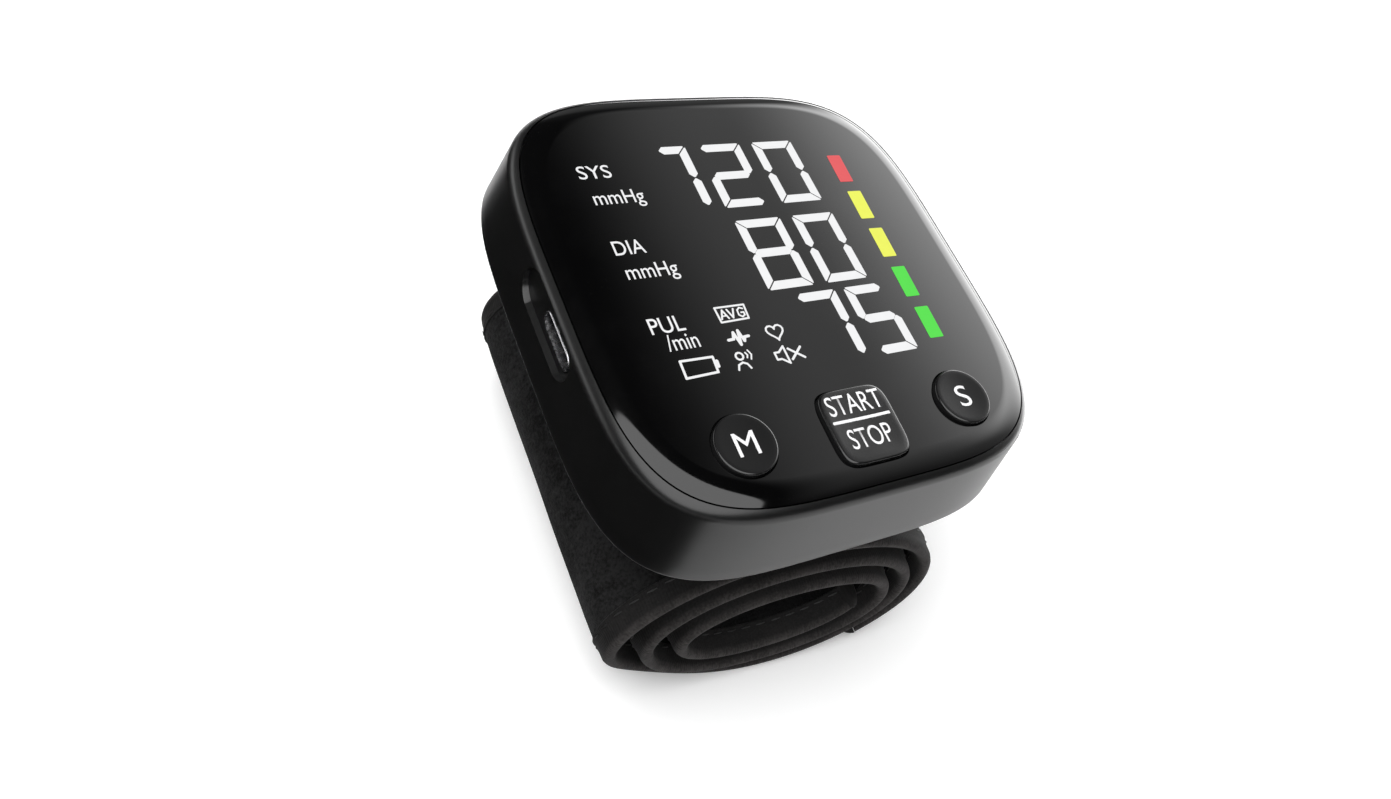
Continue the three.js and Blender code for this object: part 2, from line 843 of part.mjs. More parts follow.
add(
  "pump_head",
  cut(
    join([
      box(
        [headLeft, -pumpHeadSide / 2, -pumpHeadSide / 2],
        [headRight, pumpHeadSide / 2, pumpHeadSide / 2],
      ),
      ...[-1, 1].map((side) =>
        box(
          [motorRight + seatGap, -pumpArmThickness / 2, -pumpHeadSide / 2],
          [headLeft + pumpArmThickness, pumpArmThickness / 2, pumpHeadSide / 2],
        ).translate(0, side * (armInner + pumpArmThickness / 2), 0),
      ),
    ]),
    [
      alongX(rod(shaftPocketRadius, headLeft - overrun, headLeft + shaftEndInset + seatGap), 0, 0),
      alongX(rod(airBoreRadius, headRight - shaftPocketDepth, headRight + overrun), 0, 0),
    ],
  ).translate(0, airLineY, airLineZ),
  innerPlastic,
);
const manifoldTop = airLineZ + manifoldHeight / 2;
const manifoldBottom = airLineZ - manifoldHeight / 2;
const nozzleTop = manifoldBottom - seatGap;
add(
  "air_manifold",
  cut(
    join([
      alongX(rod(airLineRadius, manifoldLeft, manifoldRight), 0, airLineZ),
      rod(manifoldRadius, manifoldBottom, manifoldTop).translate(airLineX, 0, 0),
    ]),
    [
      alongX(rod(airBoreRadius, manifoldLeft - overrun, manifoldRight + overrun), 0, airLineZ),
      rod(nozzleRadius, manifoldBottom - overrun, manifoldTop + overrun).translate(airLineX, 0, 0),
    ],
  ).translate(0, airLineY, 0),
  paleSilicone,
);
const valveLeft = manifoldRight + seatGap;
const valveRight = valveLeft + valveLength;
add(
  "valve_body",
  cut(
    box([valveLeft, -valveSide / 2, -valveSide / 2], [valveRight, valveSide / 2, valveSide / 2]),
    [
      alongX(rod(valveBoreRadius, valveLeft + valveEndWall, valveRight + overrun), 0, 0),
      alongX(rod(airBoreRadius, valveLeft - overrun, valveLeft + valveEndWall + overrun), 0, 0),
    ],
  ).translate(0, airLineY, airLineZ),
  innerPlastic,
);
const plungerRest = plungerTravel + seatGap;
const plungerLeft = valveLeft + valveEndWall + plungerRest;
const plungerRight = valveRight + plungerRest;
add(
  "valve_plunger",
  alongX(
    join([
      rod(valveBoreRadius - plungerClearance, plungerLeft, plungerRight),
      rod(plungerFlangeRadius, plungerRight, plungerRight + plungerFlangeThickness),
    ]),
    airLineY,
    airLineZ,
  ),
  bareSteel,
);
const sensorBottom = boardBottom - sensorHeight;
add(
  "pressure_sensor",
  join([
    box([-sensorSide / 2, -sensorSide / 2, sensorBottom], [sensorSide / 2, sensorSide / 2, boardBottom]),
    rod(nozzleBoreRadius + layerGap, sensorBottom - sensorNozzleLength, sensorBottom),
  ]).translate(airLineX, airLineY, 0),
  chipBlack,
);

// The wound strip. A turn is counted from the inner end, and the middle of the strip is an oval that grows.
const turnGrowthAcross = bindingThickness + rollGapAcross;
const turnGrowthUp = bindingThickness + rollGapUp;
const bindingHalf = bindingThickness / 2;
const sleeveOuter = bindingHalf - sleeveInset;
const sleeveInner = sleeveOuter - sleeveThickness;
const topTurn = Math.floor(cuffTurns) - (90 - cuffStartAngle) / 360;
const topHalfHeight = rollHalfHeight + turnGrowthUp * topTurn;
const saddleTop = coverBottom - rubGap;
const rollCentreZ = saddleTop - saddleThickness - seatGap - sleeveOuter - topHalfHeight;
function rollMiddle(turn) {
  const angle = THREE.MathUtils.degToRad(cuffStartAngle) - 2 * Math.PI * turn;
  const c = Math.cos(angle);
  const s = Math.sin(angle);
  const halfWidth = rollHalfWidth + turnGrowthAcross * turn;
  const halfHeight = rollHalfHeight + turnGrowthUp * turn;
  return new THREE.Vector2(
    rollCentreX + rollDriftX * turn + halfWidth * Math.sign(c) * Math.abs(c) ** (2 / cuffPower),
    rollCentreZ + halfHeight * Math.sign(s) * Math.abs(s) ** (2 / cuffPower),
  );
}
const stationTurn = 1 / cuffStationsPerTurn;
function rollPoint(turn, offset) {
  const middle = rollMiddle(turn);
  const along = rollMiddle(turn + stationTurn / 4).sub(rollMiddle(turn - stationTurn / 4)).normalize();
  return new THREE.Vector2(middle.x - along.y * offset, middle.y + along.x * offset);
}
const footTurn = Math.floor(cuffTurns - 1) + (90 + cuffStartAngle) / 360;
const floorZ = rollPoint(footTurn, bindingHalf).y + footFlat;
function nearEdge(turn, point) {
  const flap = Math.max(0, 1 - turn / flapTurnShare);
  const tuck = Math.exp(-(((turn - tuckTurnShare) / tuckSpreadShare) ** 2));
  return (
    cuffNearY +
    nearSkewShare * point.x +
    nearSlantShare * (point.y - saddleTop) +
    telescopeStep * (turn - cuffTurns / 2) +
    flapRecess * flap +
    tuckDepth * tuck
  );
}
function farEdge(turn, point) {
  return cuffFarY - farFlareShare * (point.y - rollCentreZ);
}
function stationsOf([fromTurn, toTurn]) {
  const first = Math.round(fromTurn * cuffStationsPerTurn);
  const last = Math.round(toTurn * cuffStationsPerTurn);
  return Array.from({ length: last - first + 1 }, (_, i) => (first + i) / cuffStationsPerTurn);
}
// A strip of the roll: each ring is a list of [distance from an edge, edge function, normal offset].
function strip(turns, profile) {
  return loft(
    turns.map((turn) =>
      profile.map(([edge, inward, offset]) => {
        const point = rollPoint(turn, offset);
        const y = edge(turn, rollPoint(turn, 0)) + inward;
        return [point.x, y, Math.max(point.y, floorZ)];
      }),
    ),
  );
}
function layer(turns, inset, outer, inner) {
  return strip(turns, [
    [nearEdge, inset, outer],
    [farEdge, -inset, outer],
    [farEdge, -inset, inner],
    [nearEdge, inset, inner],
  ]);
}
const wholeTurns = stationsOf([0, cuffTurns]);
const sleeveEdge = bindingWidth + seatGap;
const nozzleHole = () =>
  rod(nozzleRadius + seatGap, rollCentreZ + topHalfHeight - bindingHalf / 4, nozzleTop)
    .translate(airLineX, airLineY, 0);
add(
  "cuff_outer_sleeve",
  cut(layer(wholeTurns, sleeveEdge, sleeveOuter, sleeveInner), [nozzleHole()]),
  cuffFabric,
);
add("cuff_inner_sleeve", layer(wholeTurns, sleeveEdge, -sleeveInner, -sleeveOuter), cuffFabric);
const curlerOuter = sleeveInner - layerGap;
const curlerInner = curlerOuter - curlerThickness;
add(
  "cuff_curler",
  cut(layer(stationsOf(curlerTurnRange), sleeveEdge + seatGap, curlerOuter, curlerInner), [nozzleHole()]),
  clearPlastic,
);
const bladderOuter = curlerInner - layerGap;
add(
  "air_bladder",
  layer(
    stationsOf(bladderTurnRange),
    sleeveEdge + 2 * seatGap,
    bladderOuter,
    bladderOuter - bladderThickness,
  ),
  paleSilicone,
);

// Bindings: rounded tapes along both edges of the strip.
const bindingShares = [
  [-1, 1],
  [-1, 0.3],
  [-0.75, 0.09],
  [-0.35, 0],
  [0.35, 0],
  [0.75, 0.09],
  [1, 0.3],
  [1, 1],
];
function binding(edge, direction) {
  return strip(
    wholeTurns,
    bindingShares.map(([across, inward]) => [
      edge,
      direction * inward * bindingWidth,
      across * bindingHalf,
    ]),
  );
}
add("cuff_near_binding", binding(nearEdge, 1), bindingFabric);
add("cuff_far_binding", binding(farEdge, -1), bindingFabric);

// Hems close the two ends of the strip, and the hook patch lies under the outer flap.
const hemSetShare = 0.3;
const hemFullShare = 0.6;
const hemShares = [1, 1, 0.5];
function hem(turn, direction) {
  const halfWidth = rollHalfWidth + turnGrowthAcross * turn;
  const turnOf = (length) => turn + (direction * length) / (2 * Math.PI * halfWidth);
  const hemTurns = [turnOf(seatGap), turnOf(hemWidth * hemFullShare), turnOf(hemWidth)];
  return loft(
    hemTurns.map((hemTurn, i) => {
      const outer = hemShares[i] * bindingHalf;
      return [
        [nearEdge, bindingWidth * hemSetShare, outer],
        [farEdge, -bindingWidth * hemSetShare, outer],
        [farEdge, -bindingWidth * hemSetShare, -outer],
        [nearEdge, bindingWidth * hemSetShare, -outer],
      ].map(([edge, inward, offset]) => {
        const point = rollPoint(hemTurn, offset);
        return [point.x, edge(hemTurn, rollPoint(hemTurn, 0)) + inward, Math.max(point.y, floorZ)];
      });
    }),
  );
}
add("cuff_root_hem", hem(wholeTurns[0], -1), bindingFabric);
add("cuff_tip_hem", hem(wholeTurns.at(-1), 1), bindingFabric);
add(
  "cuff_hook_patch",
  layer(
    stationsOf(hookTurnRange),
    sleeveEdge + hookPatchMargin,
    -sleeveOuter - rubGap,
    -sleeveOuter - rubGap - hookPatchThickness,
  ),
  rubberBlack,
);

// The least gap of the strip to itself, from the outer face of each turn to the inner face of the next.
let leastGap = Infinity;
const fine = 4;
const fineTurns = Array.from({ length: wholeTurns.length * fine }, (_, i) => (i * stationTurn) / fine);
for (const turn of fineTurns) {
  const outerFace = rollPoint(turn, bindingHalf);
  for (const other of fineTurns.filter((later) => 2 * (later - turn) > 1)) {
    leastGap = Math.min(leastGap, outerFace.distanceTo(rollPoint(other, -bindingHalf)));
  }
}
console.log("least gap of the cuff strip to itself, mm:", leastGap.toFixed(3));

// Saddle plate: flat against the rear cover, hollowed underneath to the curve of the cuff.
const saddleSamples = 400;
const saddleCurve = Array.from({ length: saddleSamples }, (_, i) =>
  rollPoint(topTurn - 1 / 4 + i / (2 * saddleSamples), sleeveOuter + seatGap),
).sort((p, q) => p.x - q.x);
function cuffTopAt(x) {
  const next = saddleCurve.findIndex((point) => point.x >= x);
  const [low, high] = [saddleCurve[next - 1], saddleCurve[next]];
  return low.y + ((high.y - low.y) * (x - low.x)) / (high.x - low.x);
}
const saddleLeft = saddleX - saddleWidth / 2;
const saddleRight = saddleX + saddleWidth / 2;
const saddleFacets = 14;
const saddleOutline = [[saddleRight, saddleTop], [saddleLeft, saddleTop]];
for (let i = 0; i <= saddleFacets; i++) {
  const x = saddleLeft + (saddleWidth * i) / saddleFacets;
  saddleOutline.push([x, cuffTopAt(x)]);
}
// Two snap lugs, each a tongue with a barb that catches the inside of the rear cover.
const lugTop = coverTop + rubGap;
const lugEdge = 2 * lugThickness;
function lugTongue(grow, bottom, top) {
  return box(
    [-lugWidth / 2 - grow, -lugThickness / 2 - grow, bottom],
    [lugWidth / 2 + grow, lugThickness / 2 + grow, top],
  );
}
function placeLugs(makeLug) {
  return [
    makeLug().translate(saddleX, saddleY - saddleLength / 2 + lugEdge / 2, 0),
    makeLug().rotateZ(-Math.PI / 2).translate(saddleLeft + lugEdge / 2, saddleY + saddleLength / 4, 0),
  ];
}
add(
  "cuff_saddle_plate",
  cut(
    join([
      polygonPrism(saddleOutline, 0, saddleLength)
        .rotateX(Math.PI / 2)
        .translate(0, saddleY + saddleLength / 2, 0),
      ...placeLugs(() => lugTongue(0, saddleTop - saddleThickness / 2, lugTop + lugBarb)),
      ...placeLugs(() =>
        box(
          [-lugWidth / 2, -lugThickness / 2 - seatGap - lugBarb, lugTop],
          [lugWidth / 2, 0, lugTop + lugBarb],
        ),
      ),
    ]),
    [rod(nozzleRadius + seatGap, rollCentreZ, nozzleTop).translate(airLineX, airLineY, 0)],
  ),
  innerPlastic,
);

// Air nozzle from the manifold through the cover, the saddle and the outer sleeve to the bladder.
add(
  "air_nozzle",
  cut(
    rod(nozzleRadius, rollCentreZ + topHalfHeight + curlerInner + layerGap, nozzleTop)
      .translate(airLineX, airLineY, 0),
    [
      rod(nozzleBoreRadius, rollCentreZ + topHalfHeight - overrun, nozzleTop + overrun)
        .translate(airLineX, airLineY, 0),
    ],
  ),
  paleSilicone,
);

// Rear cover: inside the wall, with screw pads, board rests, sound holes and slots for the saddle's lugs.
const coverPostPlaceShares = [[0.86, 0.24], [0.86, -0.2], [-0.83, 0.42], [0, -0.9]];
const coverInset = wallThickness + seatGap;
const soundHoleRadius = 0.6;
const soundHoleSpread = 3;
const soundHoleCount = 6;
const soundHoles = [[0, 0]];
for (let i = 0; i < soundHoleCount; i++) {
  const angle = (2 * Math.PI * i) / soundHoleCount;
  soundHoles.push([soundHoleSpread * Math.cos(angle), soundHoleSpread * Math.sin(angle)]);
}
add(
  "rear_cover",
  cut(
    join([
      superLoft([insetLevel(coverBottom, coverInset), insetLevel(coverTop, coverInset)]),
      ...screwPlaces.map(([x, y]) =>
        rod(padRadius, coverTop - coverThickness / 2, padTop, roundSides).translate(x, y, 0),
      ),
      ...coverPostPlaceShares.map(([shareX, shareY]) =>
        rod(boardPostRadius, coverTop - coverThickness / 2, boardBottom - seatGap)
          .translate(shareX * boardHalf[0], shareY * boardHalf[1], 0),
      ),
    ]),
    [
      ...screwPlaces.map(([x, y]) =>
        rod(screwHeadRadius + seatGap, coverBottom - overrun, screwHeadSeat).translate(x, y, 0),
      ),
      ...screwPlaces.map(([x, y]) =>
        rod(shankHoleRadius, coverBottom - overrun, padTop + overrun).translate(x, y, 0),
      ),
      rod(nozzleRadius + seatGap, coverBottom - overrun, coverTop + overrun)
        .translate(airLineX, airLineY, 0),
      ...soundHoles.map(([x, y]) =>
        rod(soundHoleRadius, coverBottom - overrun, coverTop + overrun, holeSides)
          .translate(speakerX + x, airLineY + y, 0),
      ),
      ...placeLugs(() => lugTongue(seatGap, coverBottom - overrun, coverTop + overrun)),
    ],
  ),
  housingGrey,
);
screwPlaces.forEach(([x, y], i) => {
  const screw = turned(
    [
      [0, screwHeadSeat - screwHeadHeight + screwShankRadius / 3],
      [screwShankRadius / 2, screwHeadSeat - screwHeadHeight + screwShankRadius / 3],
      [screwShankRadius / 2, screwHeadSeat - screwHeadHeight],
      [screwHeadRadius - screwShankRadius / 3, screwHeadSeat - screwHeadHeight],
      [screwHeadRadius, screwHeadSeat - screwHeadHeight + screwShankRadius / 3],
      [screwHeadRadius, screwHeadSeat],
      [screwShankRadius, screwHeadSeat],
      [screwShankRadius, screwTip - screwShankRadius],
      [0, screwTip - screwShankRadius / 4],
    ],
    smallSides,
  );
  add("rear_cover_screw_" + (i + 1), screw, bareSteel).position.set(x, y, 0);
});

// The part's origin is on the floor, under the middle of its box.
const part = new THREE.Group();
part.add(monitor);
part.updateMatrixWorld(true);
const extent = new THREE.Box3().setFromObject(monitor, true);
monitor.position.set(-(extent.min.x + extent.max.x) / 2, -(extent.min.y + extent.max.y) / 2, -extent.min.z);
const listed = (vector) => vector.toArray().map((v) => v.toFixed(4)).join(" ");
console.log("box of the part, mm:", listed(extent.getSize(new THREE.Vector3())));
console.log("face origin in the part, mm:", listed(monitor.position));

export default part;
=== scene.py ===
import math

import bmesh
import bpy
from mathutils import Matrix, Vector, noise


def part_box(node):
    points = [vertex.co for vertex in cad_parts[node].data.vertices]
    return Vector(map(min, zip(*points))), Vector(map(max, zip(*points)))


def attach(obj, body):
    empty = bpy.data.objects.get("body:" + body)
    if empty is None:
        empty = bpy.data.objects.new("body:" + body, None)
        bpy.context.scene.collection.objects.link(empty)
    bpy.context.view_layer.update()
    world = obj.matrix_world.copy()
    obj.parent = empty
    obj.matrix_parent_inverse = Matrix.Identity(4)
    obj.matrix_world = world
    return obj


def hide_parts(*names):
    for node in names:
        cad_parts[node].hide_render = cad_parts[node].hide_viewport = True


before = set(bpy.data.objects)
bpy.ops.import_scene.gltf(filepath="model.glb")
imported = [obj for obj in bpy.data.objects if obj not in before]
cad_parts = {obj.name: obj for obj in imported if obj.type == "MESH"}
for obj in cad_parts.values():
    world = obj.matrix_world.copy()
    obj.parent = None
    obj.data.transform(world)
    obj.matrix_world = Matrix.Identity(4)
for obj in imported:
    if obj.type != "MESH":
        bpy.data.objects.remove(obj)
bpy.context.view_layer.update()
scene = bpy.context.scene

# The monitor's own frame: millimetres from the middle of the line where the lens meets the housing.
# X runs across the display, Y up it and along the wrist, Z out of it.
lens_low, lens_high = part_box("front_lens")
lens_rise = 0.9
parting = Vector(
    ((lens_low.x + lens_high.x) / 2, (lens_low.y + lens_high.y) / 2, lens_high.z - lens_rise / 1000)
)
to_part = Matrix.Translation(parting) @ Matrix.Scale(0.001, 4)


# Camera: it looks down on the display from the front left, and is turned a third of a right angle
# about its own line of sight, as in the photograph.
view_point = parting + Vector((0, 0, lens_rise / 2000))
camera_data = bpy.data.cameras.new("camera")
camera_data.lens = 25.73
camera_data.sensor_width = 36
camera_data.clip_start = 0.005
camera_data.clip_end = 20
camera = bpy.data.objects.new("camera", camera_data)
camera.location = view_point + Vector((-0.07992, -0.06661, 0.09800))
turn_to = Matrix.Rotation(math.radians(-50.08), 4, "Z")
turn_down = Matrix.Rotation(math.radians(90 - 52.09), 4, "X")
roll_over = Matrix.Rotation(math.radians(32.52), 4, "Z")
camera.rotation_euler = (turn_to @ turn_down @ roll_over).to_euler()
scene.collection.objects.link(camera)
scene.camera = camera


# Floor and light: a white sheet in a dark studio. Glossy surfaces mirror a long strip light low on the
# right with a lit panel below it, a big crisp softbox behind the camera, a soft one far left, and dark
# cards on the left and far behind. Matt surfaces are lit by one wide softbox overhead.
def new_material(name, **settings):
    """A material, its tree and its shader, whose own sockets are set by name, with _ for a space."""
    material = bpy.data.materials.new(name)
    material.use_nodes = True
    shader = material.node_tree.nodes["Principled BSDF"]
    for label, value in settings.items():
        socket = shader.inputs[label.replace("_", " ")]
        socket.default_value = (*value, 1) if isinstance(value, tuple) and len(value) == 3 else value
    return material, material.node_tree, shader


def add_node(tree, kind, sockets=(), **settings):
    """A node whose sockets, in order or by name, are linked to an output or set to a plain value."""
    node = tree.nodes.new("ShaderNode" + kind)
    for name, value in settings.items():
        setattr(node, name, value)
    for key, value in sockets.items() if isinstance(sockets, dict) else enumerate(sockets):
        if isinstance(value, bpy.types.NodeSocket):
            tree.links.new(value, node.inputs[key])
        else:
            node.inputs[key].default_value = value
    return node


def add_math(tree, operation, *values):
    return add_node(tree, "Math", values, operation=operation).outputs["Value"]


def remap(tree, value, low, high, to_low, to_high, smooth=False):
    span = {"Value": value, "From Min": low, "From Max": high, "To Min": to_low, "To Max": to_high}
    shape = "SMOOTHSTEP" if smooth else "LINEAR"
    return add_node(tree, "MapRange", span, interpolation_type=shape).outputs["Result"]


def lay_sheet(name, low, high, height, material):
    bm = bmesh.new()
    made = bmesh.ops.create_grid(bm, x_segments=1, y_segments=1, size=0.5)["verts"]
    bmesh.ops.scale(bm, vec=(high[0] - low[0], high[1] - low[1], 1), verts=made)
    bmesh.ops.translate(bm, vec=((low[0] + high[0]) / 2, (low[1] + high[1]) / 2, height), verts=made)
    mesh = bpy.data.meshes.new(name)
    bm.to_mesh(mesh)
    bm.free()
    mesh.materials.append(material)
    sheet = bpy.data.objects.new(name, mesh)
    scene.collection.objects.link(sheet)
    return sheet


def lay_card(name, low, high, shade, glow=0):
    """A card on the floor, or a lit panel, that only shows in reflections."""
    grey = (shade, shade, shade)
    flock, tree, shader = new_material(name, Base_Color=grey, Roughness=1, Specular_IOR_Level=0)
    shader.inputs["Emission Color"].default_value = (1, 1, 1, 1)
    shader.inputs["Emission Strength"].default_value = glow
    card = lay_sheet(name, low, high, 0.0004, flock)
    card.visible_camera = False
    card.visible_diffuse = False
    card.visible_shadow = False
    return card


# The photograph overexposes the sheet, so it glows a little where it is seen directly.
white_paper, tree, shader = new_material(
    "white_paper", Base_Color=(0.93, 0.93, 0.93), Roughness=0.95, Specular_IOR_Level=0.1
)
seen_directly = add_node(tree, "LightPath").outputs["Is Camera Ray"]
overexposed = add_math(tree, "MULTIPLY", seen_directly, 0.25)
tree.links.new(overexposed, shader.inputs["Emission Strength"])
lay_sheet("studio_floor", (-6, -6), (6, 6), 0, white_paper)
lay_card("black_card", (-0.3, -0.4), (-0.035, 0.36), 0.01)
lay_card("grey_card", (-6, 0.42), (6, 6), 0.12)
lay_card("lit_panel", (0.14, -0.1), (3, 0.4), 0.9, glow=2.6)

world = bpy.data.worlds.new("studio")
scene.world = world
world.use_nodes = True
sky = world.node_tree
direction = add_node(sky, "TexCoord").outputs["Generated"]
axes = add_node(sky, "SeparateXYZ", (direction,)).outputs


def softbox(aim, full_angle, edge_angle, power):
    """A round softbox: even within its full angle from the aim, and faded out at its edge angle."""
    facing = add_node(sky, "VectorMath", (direction, Vector(aim).normalized()), operation="DOT_PRODUCT")
    edge, full = math.cos(math.radians(edge_angle)), math.cos(math.radians(full_angle))
    return remap(sky, facing.outputs["Value"], edge, full, 0, power, smooth=True)


def times(first, second):
    return add_math(sky, "MULTIPLY", first, second)


def brightness(total, *lights):
    for light in lights:
        total = add_math(sky, "ADD", light, total)
    return total


# The long strip on the right is dim high up and bright from halfway down to the horizon.
lean = add_math(sky, "ARCTAN2", axes["X"], axes["Z"])
strip_dim = remap(sky, lean, math.radians(27.5), math.radians(39), 0, 0.85, smooth=True)
strip_bright = remap(sky, lean, math.radians(40.2), math.radians(56), 0, 5, smooth=True)
dim_near = remap(sky, axes["Y"], -0.6, 0.15, 0, 1)
bright_near = remap(sky, axes["Y"], -0.25, 0.33, 0, 1, smooth=True)
strip_far = remap(sky, axes["Y"], 0.62, 0.8, 1, 0.04, smooth=True)
strip = times(brightness(times(strip_dim, dim_near), times(strip_bright, bright_near)), strip_far)
behind_camera = softbox((-0.32, -0.38, 0.87), 40, 41, 3.1)
only_low = remap(sky, axes["Z"], 0.06, 0.24, 1, 0.08, smooth=True)
far_left = times(softbox((-0.72, 0.68, 0.15), 10, 40, 3.0), only_low)
mirrored = brightness(0.03, strip, behind_camera, far_left)
scattered = brightness(0.15, softbox((-0.3, 0.24, 0.92), 12, 40, 5.0))
ray = add_node(sky, "LightPath").outputs
either_sky = add_node(sky, "Mix", {"Factor": ray["Is Glossy Ray"], "A": scattered, "B": mirrored})
white_wall = add_math(sky, "MAXIMUM", either_sky.outputs["Result"], ray["Is Camera Ray"])
background = sky.nodes["Background"].inputs
sky.links.new(white_wall, background["Strength"])
background["Color"].default_value = (1, 1, 1, 1)
scene.view_settings.view_transform = "Standard"
scene.view_settings.look = "None"


# Front lens: one moulded panel of smoked acrylic, flat over the display, with a soft shoulder all
# round and a skirt that drops into the housing. Three openings let the buttons through.
def open_group(name, **inputs):
    """A shader group with its inputs by name, and what they hand to its nodes."""
    group = bpy.data.node_groups.new(name, "ShaderNodeTree")
    for label, value in inputs.items():
        kind = "NodeSocketVector" if isinstance(value, tuple) else "NodeSocketFloat"
        group.interface.new_socket(label, in_out="INPUT", socket_type=kind).default_value = value
    return group, group.nodes.new("NodeGroupInput").outputs


def close_group(group, **values):
    """Gives the group an output for each of the values."""
    for label in values:
        group.interface.new_socket(label, in_out="OUTPUT", socket_type="NodeSocketFloat")
    handed_out = group.nodes.new("NodeGroupOutput").inputs
    for label, value in values.items():
        group.links.new(value, handed_out[label])


def place_group(tree, group, **values):
    return add_node(tree, "Group", values, node_tree=group).outputs


def add_noise(tree, vector, scale, detail, roughness=0.5):
    grid = {"Vector": vector, "Scale": scale, "Detail": detail, "Roughness": roughness}
    return add_node(tree, "TexNoise", grid).outputs["Fac"]


def mix_colours(tree, share, low, high):
    """A mix of two colours, which are a Mix node's inputs 6 and 7, and the result its output 2."""
    ends = [c if isinstance(c, bpy.types.NodeSocket) else (*c, 1) for c in (low, high)]
    return add_node(tree, "Mix", {0: share, 6: ends[0], 7: ends[1]}, data_type="RGBA").outputs[2]


def tint(tree, shader, share, low, high, socket="Base Color"):
    tree.links.new(mix_colours(tree, share, low, high), shader.inputs[socket])


def object_position(tree):
    return add_node(tree, "TexCoord").outputs["Object"]


# Handling: the faint smears and dust that a used gloss or satin surface carries.
handling, given = open_group("handling", Position=(0, 0, 0), Clean=0.1, Smeared=0.2)
smear = remap(handling, add_noise(handling, given["Position"], 55, 6, 0.62), 0.42, 0.72, 0, 1)
specks = remap(handling, add_noise(handling, given["Position"], 1900, 2), 0.70, 0.76, 0, 1)
either = add_math(handling, "MAXIMUM", smear, specks)
span = remap(handling, either, 0, 1, given["Clean"], given["Smeared"])
close_group(handling, Roughness=span, Smear=either)

acrylic_black = (0.0008, 0.0008, 0.0009)
smoked_acrylic, tree, shader = new_material("smoked_acrylic", Base_Color=acrylic_black, IOR=1.49)
smears = place_group(tree, handling, Position=object_position(tree), Clean=0.035, Smeared=0.10)
tree.links.new(smears["Roughness"], shader.inputs["Roughness"])
tint(tree, shader, smears["Smear"], acrylic_black, (0.0014, 0.0014, 0.0015))


def superellipse_ring(bm, z, half_x, half_y, power, sides=256, centre=(0, 0)):
    made = bmesh.ops.create_circle(bm, segments=sides, radius=1, cap_ends=False)
    for v in made["verts"]:
        reach = (abs(v.co.x / half_x) ** power + abs(v.co.y / half_y) ** power) ** (-1 / power)
        v.co = Vector((centre[0] + v.co.x * reach, centre[1] + v.co.y * reach, z))
    return list({e for v in made["verts"] for e in v.link_edges})


def skin_rings(bm, rings, closed=False):
    for low, high in zip(rings, rings[1:] + rings[:1] if closed else rings[1:]):
        bmesh.ops.bridge_loops(bm, edges=low + high)


def cap_rings(bm, *rings):
    for ring in rings:
        bmesh.ops.edgeloop_fill(bm, edges=ring)


def make_object(name, bm, material, sharp=32):
    bmesh.ops.recalc_face_normals(bm, faces=bm.faces)
    mesh = bpy.data.meshes.new(name)
    bm.to_mesh(mesh)
    bm.free()
    mesh.transform(to_part)
    mesh.materials.append(material)
    mesh.shade_smooth()
    mesh.set_sharp_from_angle(angle=math.radians(sharp))
    made = bpy.data.objects.new(name, mesh)
    scene.collection.objects.link(made)
    return made


def stack_solid(name, bm, rings, material):
    """A solid skinned over a stack of rings and closed at its first and last."""
    skin_rings(bm, rings)
    cap_rings(bm, rings[0], rings[-1])
    return make_object(name, bm, material)


def cut_away(base, *cutters):
    """Cuts solids out of a shell, and keeps its flat faces flat beside the rounded ones."""
    for cutter in cutters:
        step = base.modifiers.new("cut", "BOOLEAN")
        step.operation = "DIFFERENCE"
        step.solver = "EXACT"
        step.object = cutter
    bpy.context.view_layer.update()
    settled = bpy.data.meshes.new_from_object(base.evaluated_get(bpy.context.evaluated_depsgraph_get()))
    base.modifiers.clear()
    base.data = settled
    for cutter in cutters:
        bpy.data.objects.remove(cutter)
    settled.set_sharp_from_angle(angle=math.radians(32))
    weighted = base.modifiers.new("flat_faces_stay_flat", "WEIGHTED_NORMAL")
    weighted.keep_sharp = True
    weighted.weight = 80


def belongs(made, body, slot_name, *nodes):
    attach(made, body)
    if nodes:
        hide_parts(*nodes)
    return made


lens_half = (33, 34.3)
lens_power = 4.13
lens_shoulder = 3.2
lens_wall = 1.4
lens_underside = lens_rise - 1.6
skirt_bottom = lens_underside - 0.4


def lens_ring(bm, z, inset=0):
    return superellipse_ring(bm, z, lens_half[0] - inset, lens_half[1] - inset, lens_power)


bm = bmesh.new()
rings = [
    lens_ring(bm, lens_underside, lens_wall),
    lens_ring(bm, skirt_bottom, lens_wall),
    lens_ring(bm, skirt_bottom),
    lens_ring(bm, -0.12),
    lens_ring(bm, -0.04, 0.02),
]
edge_slope = 2 * math.atan(lens_rise / lens_shoulder)
shoulder_radius = lens_shoulder / math.sin(edge_slope)
for i in range(16):
    angle = edge_slope * (0.985 - 0.985 * i / 15)
    drop = shoulder_radius * (1 - math.cos(angle))
    rings.append(lens_ring(bm, lens_rise - drop, lens_shoulder - shoulder_radius * math.sin(angle)))
smoked_lens = stack_solid("smoked_lens", bm, rings, smoked_acrylic)

# Each button's place, its half width, the power of its outline, and the sides that round it off.
buttons = {
    "memory_key": ((-17.97, -25.42), 4.35, 2, 96),
    "set_key": ((17.97, -25.42), 4.35, 2, 96),
    "start_stop_key": ((0, -26.16), 5.54, 5, 128),
}
button_clearance = 0.25
openings = []
for place, half, power, sides in buttons.values():
    bm = bmesh.new()
    wide = half + button_clearance
    rings = [superellipse_ring(bm, z, wide, wide, power, sides, place) for z in (-3, 3)]
    openings.append(stack_solid("opening", bm, rings, smoked_acrylic))
cut_away(smoked_lens, *openings)
belongs(smoked_lens, "monitor", "lens", "front_lens")


